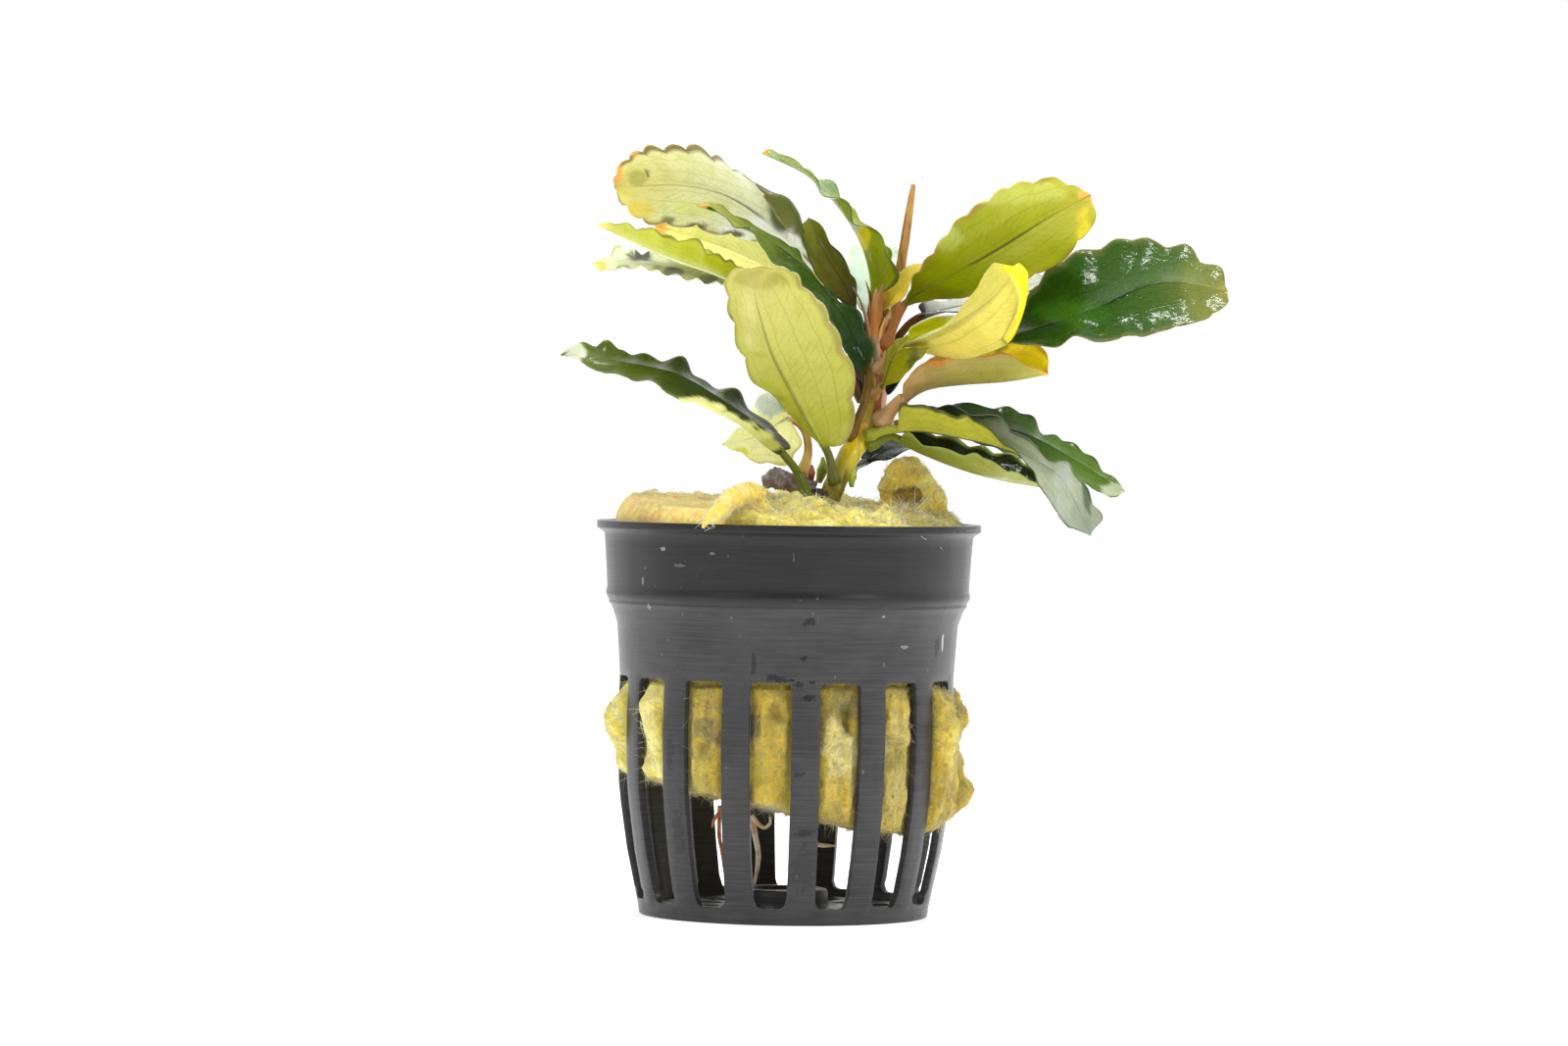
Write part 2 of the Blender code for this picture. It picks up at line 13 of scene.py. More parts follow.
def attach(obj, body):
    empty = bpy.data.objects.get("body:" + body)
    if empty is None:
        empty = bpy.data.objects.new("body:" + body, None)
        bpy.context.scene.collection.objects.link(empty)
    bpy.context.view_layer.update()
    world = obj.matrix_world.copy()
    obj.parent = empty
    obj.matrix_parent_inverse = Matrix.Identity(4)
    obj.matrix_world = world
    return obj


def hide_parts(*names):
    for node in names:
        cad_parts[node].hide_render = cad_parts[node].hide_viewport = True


MM = 0.001
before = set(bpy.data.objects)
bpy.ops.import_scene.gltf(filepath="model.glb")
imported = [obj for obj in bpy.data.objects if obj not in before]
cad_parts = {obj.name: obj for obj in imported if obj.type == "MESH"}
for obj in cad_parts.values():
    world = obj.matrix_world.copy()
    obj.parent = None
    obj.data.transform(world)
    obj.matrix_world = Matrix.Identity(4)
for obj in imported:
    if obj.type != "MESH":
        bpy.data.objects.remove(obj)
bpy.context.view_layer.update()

# Numbers that the solids share
SLOT_PITCH = 24.0
SLOTS_IN_GROUP = 7
GROUP_STARTS = [-77.3, 104.7]
RIB_WIDTH = 3.9
SLOT_BOTTOM = 2.2
SLOT_TOP = 32.8
FLOOR_THICK = 1.2
HUB_RADIUS = 6.3
HUB_HEIGHT = 3.6
POT_HEIGHT = 54.0
# The pot's wall, from the floor up: outer radius and its height, inner radius and its height
POT_WALL = np.array([
    (19.85, 0.0, 18.9, 0.0), (20.05, FLOOR_THICK, 19.0, FLOOR_THICK),
    (20.25, SLOT_BOTTOM, 19.15, SLOT_BOTTOM), (21.7, 9.0, 20.6, 9.0), (22.9, 17.0, 21.8, 17.0),
    (23.2, 25.0, 22.1, 25.0), (23.0, SLOT_TOP, 21.9, SLOT_TOP), (23.5, 40.0, 22.5, 40.0),
    (24.2, 42.1, 23.1, 42.3), (24.8, 42.9, 23.7, 43.1), (25.4, 52.4, 24.4, 52.2),
    (26.5, 53.0, 24.6, 53.2), (26.5, 53.6, 24.9, POT_HEIGHT)])
WOOL_SLOPE = -0.2
WOOL_FOOT_MID = 15.4
WOOL_FOOT_LOW = 11.8
WOOL_FOOT_HIGH = 19.2
WOOL_CLEARANCE = 0.5
WOOL_WADS = np.array([2.9, 1.9, 0.9, 0.6, 0.5, 0.9, 4.4, 5.0, 1.6, 0.7, 1.2, 0.5, 1.4, 2.6])
WOOL_STRIP_ROUTE = [(-4, -19, 58), (-6.5, -21.5, 58), (-9, -24.5, 56), (-11, -27.5, 54.5)]
STEM_ROUTE = [(5.5, -3, 57.5), (6.5, -3, 60), (8.5, -2, 64), (10.5, -1, 67), (11.5, 0, 71.5),
              (11.5, 0, 76), (11.5, 0.5, 80), (11.5, 0.5, 85.5)]
STEM_RADII = [1.5, 1.5, 1.5, 1.5, 1.3, 1.15, 0.95, 0.35]
RHIZOME_ROUTE = [(-3.5, -1.5, 59.5), (-2, -2, 60), (0, -2, 59.5), (2, -2.5, 59), (3.5, -2.5, 58.5)]
RHIZOME_RADII = [0.8, 1.45, 1.2, 1.5, 1.2]
PETIOLE_RADIUS = 0.55
PETIOLE_GAP = 0.4

# The camera, as fitted to the photograph
CAMERA_DISTANCE = 830.0
CAMERA_HEIGHT = 68.0
CAMERA_SIDE = -0.7
AIM_HEIGHT = 53.9
ROLL = math.radians(0.9)
PIXEL = 0.135            # millimetres to a pixel at the pot's axis
PHOTO_SIZE = np.array([1600, 1067])
PITCH = math.atan((CAMERA_HEIGHT - AIM_HEIGHT) / CAMERA_DISTANCE)
FOCAL_PIXELS = math.hypot(CAMERA_DISTANCE, CAMERA_HEIGHT - AIM_HEIGHT) / PIXEL
EYE = np.array([CAMERA_SIDE, -CAMERA_DISTANCE, CAMERA_HEIGHT])
LEVEL_UP = np.array([0, math.sin(PITCH), math.cos(PITCH)])
AHEAD = np.array([0, math.cos(PITCH), -math.sin(PITCH)])
RIGHT = np.array([1, 0, 0]) * math.cos(ROLL) + LEVEL_UP * math.sin(ROLL)
UP = LEVEL_UP * math.cos(ROLL) - np.array([1, 0, 0]) * math.sin(ROLL)


def from_photo(across, down, depth):
    """The point that lies at a pixel of the photograph, at a depth behind the pot's axis."""
    a = (across - PHOTO_SIZE[0] / 2) / FOCAL_PIXELS
    b = (PHOTO_SIZE[1] / 2 - down) / FOCAL_PIXELS
    ray = AHEAD + RIGHT * a + UP * b
    return EYE + ray * ((depth + CAMERA_DISTANCE) / ray[1])


def to_photo(points):
    """The pixels of the photograph where points lie."""
    seen = np.asarray(points) - EYE
    far = seen @ AHEAD
    return np.stack([PHOTO_SIZE[0] / 2 + FOCAL_PIXELS * (seen @ RIGHT) / far,
                     PHOTO_SIZE[1] / 2 - FOCAL_PIXELS * (seen @ UP) / far], axis=1)


# Numbers, noise and meshes


def unit(vectors, least=0.0):
    """Vectors brought to a length of 1, with shorter ones than the least length left short."""
    return vectors / np.maximum(np.linalg.norm(vectors, axis=-1, keepdims=True), least)


def square_to(vectors, along):
    """The directions of vectors once their parts along other directions are taken out."""
    return unit(vectors - along * (vectors * along).sum(axis=-1, keepdims=True))


def read_off(x, places, rows):
    """The rows of a table at x, which lies among their places."""
    return np.stack([np.interp(x, places, rows[:, k]) for k in range(3)], axis=-1)


def nearest_of(chosen, count):
    """For each of a count of stations, the nearest of the chosen ones."""
    return chosen[np.abs(np.arange(count)[:, None] - chosen).argmin(axis=1)]


def smooth_route(points):
    """Dense points at even steps on a Catmull-Rom curve through the given points."""
    knots = np.array(points, float)
    ends = np.vstack([2 * knots[0] - knots[1], knots, 2 * knots[-1] - knots[-2]])
    t = np.linspace(0, 1, 24, endpoint=False)[:, None]
    arcs = [2 * b + (c - a) * t + (2 * a - 5 * b + 4 * c - d) * t ** 2 + (3 * b - a - 3 * c + d) * t ** 3
            for a, b, c, d in zip(ends, ends[1:], ends[2:], ends[3:])]
    dense = np.vstack([*arcs, 2 * knots[-1]]) / 2
    run = np.concatenate([[0], np.cumsum(np.linalg.norm(np.diff(dense, axis=0), axis=1))])
    return read_off(np.linspace(0, run[-1], 240), run, dense)


def on_route(route, shares):
    """The points and the headings at shares of the way along a dense route."""
    last = len(route) - 1
    place = shares * last
    i = np.minimum(place.astype(int), last - 1)
    points = route[i] + (route[i + 1] - route[i]) * (place - i)[:, None]
    return points, unit(route[np.minimum(i + 4, last)] - route[np.maximum(i - 3, 0)])


def smoothstep(low, high, x):
    t = np.clip((x - low) / (high - low), 0, 1)
    return t * t * (3 - 2 * t)


def value_noise(points, seed=0):
    """Smooth noise from -1 to 1 at an array of points, one lattice step to a unit."""
    p = np.asarray(points, float) + seed * 13.71
    i = np.floor(p).astype(np.int64)
    f = p - i
    f = f * f * (3 - 2 * f)
    total = 0.0
    for step in np.ndindex(2, 2, 2):
        n = (i + step) @ np.array([374761393, 668265263, 1442695041])
        n = (n ^ (n >> 13)) * 1274126177
        n = n ^ (n >> 16)
        total = total + np.where(step, f, 1 - f).prod(axis=1) * ((n & 0xFFFF) / 32767.5 - 1)
    return total


def fractal(points, size, seed=0, octaves=3):
    """Layered noise whose largest lumps are about the given size."""
    layers = [value_noise(points / (size / 2 ** k), seed + 7 * k) / 2 ** k for k in range(octaves)]
    return sum(layers) / 1.6


def linear(rgb):
    """A screen colour, 0 to 255, as a linear one."""
    c = np.asarray(rgb, float) / 255
    return np.where(c <= 0.04045, c / 12.92, ((c + 0.055) / 1.055) ** 2.4)


def grid_faces(rows, columns, start=0):
    """Quads of a grid of rows, each a ring, with a cap on both ends."""
    low = np.arange(rows - 1)[:, None] * columns + start
    k = np.arange(columns)
    after = (k + 1) % columns
    quads = np.stack([low + k, low + after, low + columns + after, low + columns + k], axis=-1)
    caps = [(low[0, 0] + k[::-1]).tolist(), (start + (rows - 1) * columns + k).tolist()]
    return quads.reshape(-1, 4).tolist() + caps


def read_faces(mesh):
    """The middles, outward directions and areas of a mesh's faces."""
    count = len(mesh.polygons)
    values = {"center": np.zeros((count, 3)), "normal": np.zeros((count, 3)), "area": np.zeros(count)}
    for key, row in values.items():
        mesh.polygons.foreach_get(key, row.ravel())
    return values.values()


def make_piece(name, points, faces, material, slot, node=None, tint=None, **numbers):
    """A piece of the object from points in millimetres, in place of a node if it has one."""
    mesh = bpy.data.meshes.new(name)
    mesh.from_pydata((np.asarray(points, float) * MM).tolist(), [], faces)
    mesh.update()
    middles, normals, areas = read_faces(mesh)
    if (((middles - middles.mean(axis=0)) * normals).sum(axis=1) * areas).sum() < 0:
        mesh.flip_normals()
    for key, values in numbers.items():
        mesh.attributes.new(key, "FLOAT", "POINT").data.foreach_set("value", np.asarray(values, np.float32))
    if tint is not None:
        rgba = np.column_stack([tint, np.ones(len(tint))]).astype(np.float32)
        mesh.attributes.new("tint", "FLOAT_COLOR", "POINT").data.foreach_set("color", rgba.ravel())
    mesh.shade_smooth()
    mesh.materials.append(material)
    thing = bpy.data.objects.new(name, mesh)
    bpy.context.scene.collection.objects.link(thing)
    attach(thing, "root")
    if node:
        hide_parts(node)
    return thing


# Node helpers


class Wire:
    """An output of a node; reckoning with it adds Math nodes."""

    def __init__(self, graph, socket):
        self.graph = graph
        self.socket = socket

    def maths(self, operation, other=0.0, clamp=False):
        return self.graph.add("Math", {0: self, 1: other}, operation=operation, use_clamp=clamp)

    def __add__(self, other):
        return self.maths("ADD", other)

    def __sub__(self, other):
        return self.maths("SUBTRACT", other)

    def __rsub__(self, other):
        return self.graph.add("Math", {0: other, 1: self}, operation="SUBTRACT")

    def __mul__(self, other):
        return self.maths("MULTIPLY", other)

    def __truediv__(self, other):
        return self.maths("DIVIDE", other)

    def __abs__(self):
        return self.maths("ABSOLUTE")


class Graph:
    """The nodes of a material or of the world, with short ways to add them."""

    def __init__(self, owner, output="OutputMaterial", coords="Object"):
        self.owner = owner
        owner.use_nodes = True
        self.tree = owner.node_tree
        self.tree.nodes.clear()
        self.output = self.tree.nodes.new("ShaderNode" + output)
        self.coords = self.add("TexCoord", {}, coords)

    def add(self, kind, inputs, output=0, **settings):
        """Adds a node and gives one of its outputs."""
        made = self.tree.nodes.new("ShaderNode" + kind)
        for key, value in settings.items():
            setattr(made, key, value)
        for key, value in inputs.items():
            if isinstance(value, Wire):
                self.tree.links.new(value.socket, made.inputs[key])
            elif made.inputs[key].type == "RGBA":
                made.inputs[key].default_value = (*value, 1.0)
            else:
                made.inputs[key].default_value = value
        return Wire(self, made.outputs[output])

    def split(self, vector):
        x = self.add("SeparateXYZ", {0: vector})
        return [x] + [Wire(self, x.socket.node.outputs[k]) for k in (1, 2)]

    def mix(self, factor, a, b, blend="MIX"):
        return self.add("Mix", {0: factor, 6: a, 7: b}, 2, data_type="RGBA", blend_type=blend)

    def times(self, a, b):
        return self.mix(1.0, a, b, "MULTIPLY")

    def ramp(self, value, low, high, to_low=0.0, to_high=1.0, kind="SMOOTHSTEP"):
        inputs = {0: value, 1: low, 2: high, 3: to_low, 4: to_high}
        return self.add("MapRange", inputs, interpolation_type=kind)

    def fade(self, value, low, high, strength=1.0):
        return self.ramp(value, low, high, strength, 0.0)

    def noise(self, scale, detail=3.0, rough=0.5, at=None):
        inputs = {"Vector": at or self.coords, "Scale": scale, "Detail": detail, "Roughness": rough}
        return self.add("TexNoise", inputs)

    def specks(self, scale):
        return self.add("TexVoronoi", {"Vector": self.coords, "Scale": scale}, "Distance")

    def attribute(self, name, output="Fac"):
        return self.add("Attribute", {}, output, attribute_name=name)

    def stretched(self, scale, vector=None, turn=0.0):
        inputs = {"Vector": vector or self.coords, "Scale": scale, "Rotation": (0.0, 0.0, turn)}
        return self.add("Mapping", inputs)

    def bump(self, height, strength, distance):
        return self.add("Bump", {"Height": height, "Strength": strength, "Distance": distance})

    def mark(self, aside, above, wear, low, high, strength):
        """A ragged spot round the place where both distances, in its half widths, are nought."""
        both = self.add("CombineXYZ", {0: aside, 1: above})
        away = self.add("VectorMath", {0: both}, "Value", operation="LENGTH")
        return self.fade(away + (wear - 0.5) * 3.0, low, high, strength)

    def finish(self, shader):
        self.tree.links.new(shader.socket, self.output.inputs["Surface"])
        return self.owner

    def surface(self, base, rough, normal, looks):
        """Ends a material with a Principled shader."""
        looks = {"Base Color": base, "Roughness": rough, "Normal": normal, **looks}
        return self.finish(self.add("BsdfPrincipled", looks))


def material_graph(name):
    return Graph(bpy.data.materials.new(name))


# Materials

LIGHT_REACH = 0.0004     # metres that light goes inside a leaf


def leaf_material(name, glow, roughness, shine, coat, relief_depth, freckled):
    """A leaf: its tint comes with the mesh; veins, speckles and skin are added here."""
    g = material_graph(name)
    tint = g.attribute("tint", "Color")
    along = g.attribute("along")
    across = abs(g.attribute("across"))
    under = g.attribute("under")
    blotch = g.noise(420.0, 4.0, 0.6)
    grain = g.noise(2600.0, 3.0, 0.6)
    waver = g.noise(160.0, 2.0) - 0.5

    # long veins run beside the midrib, and fine ones slant between them
    long_place = (across * 3.4 + waver * 0.5).maths("FRACT")
    long_vein = g.fade(abs(long_place - 0.5), 0.015, 0.07)
    fine_place = (along * 26.0 + across * -6.0 + waver * 3.0).maths("FRACT")
    fine_vein = g.fade(abs(fine_place - 0.5), 0.02, 0.11) * g.ramp(g.noise(700.0, 2.0), 0.42, 0.58)
    blade = g.ramp(along, 0.0, 0.06) * g.ramp(along, 0.82, 0.95, 1.0, 0.15) * g.fade(across, 0.86, 0.97)
    veins = blade * (long_vein * 0.4).maths("MAXIMUM", fine_vein * 0.5)

    darker = g.times(tint, (0.56, 0.60, 0.26))
    base = g.mix(veins * 0.85, tint, darker)
    base = g.mix(g.ramp(blotch, 0.45, 0.66, 0.0, 0.6), base, g.times(base, (0.84, 0.87, 0.66)))
    base = g.mix(g.ramp(grain, 0.45, 0.75, 0.0, 0.22), base, darker)
    speck = g.specks(1500.0)
    freckles = g.fade(speck, 0.08, 0.2) * (1.0 - under)
    base = g.mix(freckles * freckled, base, (0.30, 0.42, 0.22))
    base = g.mix(g.fade(speck, 0.05, 0.12) * under * 0.35, base, darker)

    normal = g.bump(g.noise(900.0, 2.0) + grain * 0.10 + veins * -0.5, 0.6, relief_depth)
    rough = ((blotch - 0.5) * 0.25).maths("ADD", roughness, clamp=True)
    return g.surface(base, rough, normal, {
        "Specular IOR Level": shine, "Subsurface Weight": glow, "Subsurface Radius": (1.0, 1.0, 0.6),
        "Subsurface Scale": LIGHT_REACH, "Coat Weight": coat, "Coat Roughness": 0.05, "Coat Normal": normal})


def plain_growth(name, colours, roughness, size, stripes=False, glow=0.0):
    """Stems, shoots and roots: the mesh's tint or colours in patches or long stripes, with a fibrous skin."""
    g = material_graph(name)
    long_grain = g.stretched((1.0, 1.0, 0.12))
    patch = g.noise(1000.0 / size, 4.0, 0.6, long_grain if stripes else None)
    fine = g.noise(5200.0, 3.0, 0.6, long_grain)
    if colours:
        base = g.mix(g.ramp(patch, 0.40, 0.60), linear(colours[0]), linear(colours[1]))
    else:
        tint = g.attribute("tint", "Color")
        base = g.mix(g.ramp(patch, 0.45, 0.62, 0.0, 0.6), tint, g.times(tint, (0.62, 0.52, 0.4)))
    base = g.mix(g.ramp(fine, 0.4, 0.8, 0.0, 0.35), base, g.times(base, (0.6, 0.52, 0.42)))
    rough = (fine * 0.25).maths("ADD", roughness, clamp=True)
    return g.surface(base, rough, g.bump(patch + fine * 0.4, 0.6, 0.00015), {
        "Specular IOR Level": 0.4, "Subsurface Weight": glow, "Subsurface Radius": (1.0, 0.7, 0.4),
        "Subsurface Scale": LIGHT_REACH, "Coat Weight": 0.3, "Coat Roughness": 0.08})


# Painted shade in the hollows and painted light on the tufts of the wool behind the slots: middle pixel, half
# width and height, tint and strength
WOOL_PAINTED_SHADE_AND_LIGHT = [
    (770, 742, 7, 14, (92, 82, 20), 0.8), (864, 718, 14, 16, (112, 106, 34), 0.7),
    (722, 745, 12, 14, (120, 108, 50), 0.6), (857, 770, 18, 30, (236, 226, 150), 0.6),
    (784, 790, 20, 30, (196, 172, 40), 0.5), (660, 745, 8, 40, (255, 240, 150), 0.6),
    (785, 826, 22, 9, (150, 138, 96), 0.7), (915, 780, 14, 60, (196, 184, 96), 0.5),
    (716, 790, 14, 24, (206, 186, 60), 0.5), (972, 760, 14, 30, (240, 216, 84), 0.6),
]
WOOL_FRONT = -21.0       # depth of the wool that the front slots show


def wool_material(name, shades, painted_shade_and_light=False, layered=False):
    """Yellow mineral wool: matted tufts crossed by bright fibres; the left band is layered and warmer; low in
    the pot it takes painted shade, and behind the slots painted shade and light.
    """
    g = material_graph(name)
    x, y, z = g.split(g.coords)
    dark, middle, light, bright = [linear(shade) for shade in shades]
    tuft = g.noise(300.0, 5.0, 0.65)
    mat = g.noise(1700.0, 4.0, 0.7)
    layers = g.noise(900.0, 3.0, 0.6, g.stretched((1.0, 1.0, 0.10)))
    base = g.mix(g.ramp(tuft, 0.36, 0.50), dark, middle)
    base = g.mix(g.ramp(tuft, 0.52, 0.66), base, light)
    relief = mat + layers * 0.5
    for scale, width, strength in ((520.0, 0.010, 0.75), (800.0, 0.014, 0.6), (1300.0, 0.02, 0.5)):
        fibre = g.fade(abs(g.noise(scale, 3.0, 0.55) - 0.5), 0.0, width) * g.ramp(mat, 0.42, 0.58)
        base = g.mix(fibre * strength, base, bright)
        relief = relief + fibre * 0.5
    base = g.mix(g.ramp(mat, 0.44, 0.30, 0.0, 0.4), base, g.times(base, (0.55, 0.50, 0.18)))
    if painted_shade_and_light:
        # painted shade: the wool low in the pot, right of the left band, is made darker
        low = g.fade(z, 0.034, 0.040) * g.ramp(x, -0.018, -0.011)
        shaded = g.mix(g.ramp(layers, 0.40, 0.60), linear((180, 168, 82)), linear((214, 198, 112)))
        base = g.mix(low, base, g.times(base, shaded))
        front = g.ramp(y, -0.006, -0.012)
        # painted shade in the hollows and painted light on the tufts that the front slots show
        for across, down, half_width, half_height, shade, strength in WOOL_PAINTED_SHADE_AND_LIGHT:
            spot = from_photo(across, down, WOOL_FRONT) * MM
            aside = (x - spot[0]) / (half_width * PIXEL * MM)
            above = (z - spot[2]) / (half_height * PIXEL * MM)
            base = g.mix(g.mark(aside, above, tuft, 0.7, 1.15, strength) * front, base, linear(shade))
    if layered:
        band = g.fade(x, -0.012, -0.007) * g.ramp(z, 0.050, 0.053) * 0.9
        warm = g.mix(g.ramp(layers, 0.42, 0.62), linear((255, 226, 124)), linear((246, 194, 84)))
        warm = g.mix(g.ramp(g.noise(240.0, 2.0), 0.54, 0.66, 0.0, 0.5), warm, linear((236, 172, 116)))
        base = g.mix(band, base, warm)
    return g.surface(base, 0.95, g.bump(relief, 1.0, 0.0004), {
        "Sheen Weight": 0.4, "Sheen Roughness": 0.5, "Subsurface Weight": 0.6,
        "Subsurface Radius": (1.0, 0.85, 0.4), "Subsurface Scale": 0.0016})


# Nicks and a slit dent drawn as painted shade, a painted highlight on the dent's rim, darker scuffs and pale
# stray fibres on the pot: middle pixel, half width and height, shade and strength
POT_SCUFFS_AND_PAINTED_NICKS = [
    # the first two: the slit dent in painted shade and a painted highlight on its rim
    (956, 660, 5, 14, 2, 1.0), (962, 656, 2, 10, 190, 0.7), (792, 692, 10, 4, 6, 0.9),
    (803, 694, 9, 2, 6, 0.9), (825, 635, 6, 4, 8, 0.9), (820, 672, 4, 3, 8, 0.9), (769, 679, 3, 12, 12, 0.6),
    (815, 698, 5, 3, 8, 0.8), (829, 696, 4, 2, 8, 0.8), (824, 712, 7, 3, 8, 0.9), (821, 850, 11, 3, 8, 0.8),
    (683, 768, 5, 20, 14, 0.5), (693, 850, 8, 26, 18, 0.5), (815, 790, 6, 3, 10, 0.6),
    (820, 885, 12, 26, 24, 0.4), (676, 560, 3, 2, 170, 0.5), (694, 577, 7, 1.5, 120, 0.4),
    (727, 565, 3, 2, 130, 0.4), (656, 593, 1.5, 5, 150, 0.5), (662, 619, 3, 3, 150, 0.4),
    (923, 660, 5, 2, 150, 0.5), (902, 629, 2, 1.5, 170, 0.6),
]


def pot_spot(across, down):
    """Where a pixel meets the front of the pot's wall: turn about the axis, height and radius."""
    depth = -24.0
    for _ in range(8):
        spot = from_photo(across, down, depth)
        radius = wall_at(spot[2])[0]
        depth = -math.sqrt(max(radius ** 2 - spot[0] ** 2, 1.0))
    return math.atan2(spot[1], spot[0]), spot[2], radius


def pot_material():
    """Moulded black plastic, brushed round the wall, scuffed and a little dusty, with painted shade in its
    nicks and dent.
    """
    g = material_graph("net_pot_plastic")
    x, y, z = g.split(g.coords)
    turn = y.maths("ARCTAN2", x)
    wrap = g.add("CombineXYZ", {0: turn, 1: z * 420.0})
    streaks = g.noise(1.0, 6.0, 0.7, g.stretched((2.2, 7.0, 1.0), wrap))
    broad = g.noise(160.0)
    grit = g.noise(3000.0, 3.0, 0.7)
    scratch = g.ramp(g.noise(1.0, 2.0, 0.5, g.stretched((30.0, 0.8, 1.0), wrap, 0.5)), 0.735, 0.76)
    base = g.mix(g.ramp(streaks, 0.35, 0.7), linear((40, 40, 41)), linear((60, 60, 61)))
    base = g.mix(g.ramp(broad, 0.4, 0.7, 0.0, 0.4), base, linear((64, 64, 66)))
    base = g.mix(g.ramp(z, 0.0425, 0.0440), base, g.times(base, (0.3, 0.3, 0.3)))
    wear = g.noise(1500.0, 3.0, 0.6)
    # nicks and the dent in painted shade, the dent's rim as a painted highlight, with scuffs and stray fibres
    for across, down, half_width, half_height, shade, strength in POT_SCUFFS_AND_PAINTED_NICKS:
        turn_at, height_at, radius = pot_spot(across, down)
        aside = (turn - turn_at) * (radius / (half_width * PIXEL))
        above = (z - height_at * MM) * (1 / (half_height * PIXEL * MM))
        base = g.mix(g.mark(aside, above, wear, 0.75, 1.0, strength), base, linear((shade, shade, shade)))
    dust = g.fade(g.specks(520.0), 0.05, 0.11) * g.ramp(broad, 0.5, 0.62)
    base = g.mix(dust * 0.25, base, linear((150, 150, 146)))
    base = g.mix(scratch * 0.4, base, linear((130, 131, 133)))
    rough = ((streaks - 0.5) * 0.35).maths("ADD", 0.40, clamp=True)
    return g.surface(base, rough, g.bump(streaks + grit * 0.35, 0.5, 0.00008), {
        "Specular IOR Level": 0.2, "Sheen Weight": 1.0, "Sheen Roughness": 0.14, "Coat Weight": 0.2,
        "Coat Roughness": 0.3})


# The leaves


class Leaf:
    """One leaf: the solids' route, and margins read from the photograph or made from a half width."""

    blade = 0.25             # share of the route that is petiole
    height = None            # of the node on the stem
    heading = None           # degrees about +Z from +X
    left = right = None      # margins, from base to tip: pixel across, pixel down, depth
    left_fold = right_fold = None            # where a half bends over before it reaches its margin
    left_notches = right_notches = ()        # pixels of the notches between the margin's lobes
    waves = 5                # lobes on a margin whose notches aren't read
    half_width = face = None                 # of a leaf with no margins, and the way its upper face looks
    lobe = 0.10              # how far a lobe stands out, as a share of its length
    ripple = 0.07            # how far it swings up or down, as a share of its length
    cup = 0.0                # how far each half bulges, as a share of its width
    petiole = PETIOLE_RADIUS

    def __init__(self, route, look, **given):
        self.route = route   # midrib, in millimetres, as in the solids
        self.look = look
        vars(self).update(given)


class Look:
    """Colours from the base to the tip for both faces, of the midrib, rim, tip and petiole, and patches."""

    rim = midrib = tip = None
    tip_from = 0.95
    petiole = (120, 92, 42)
    midrib_width = 0.05
    # some patches are painted highlights or painted shade
    patches = ()             # middle pixel across and down, half width and height, colour, strength

    def __init__(self, upper, under, skin="mid", slot="leaf_dark", **given):
        self.upper = upper
        self.under = under
        self.skin = skin
        self.slot = slot
        vars(self).update(given)


DARK = [(30, 48, 14), (40, 66, 16), (62, 88, 30)]
DEEP = [(14, 44, 26), (22, 64, 30), (40, 82, 34)]

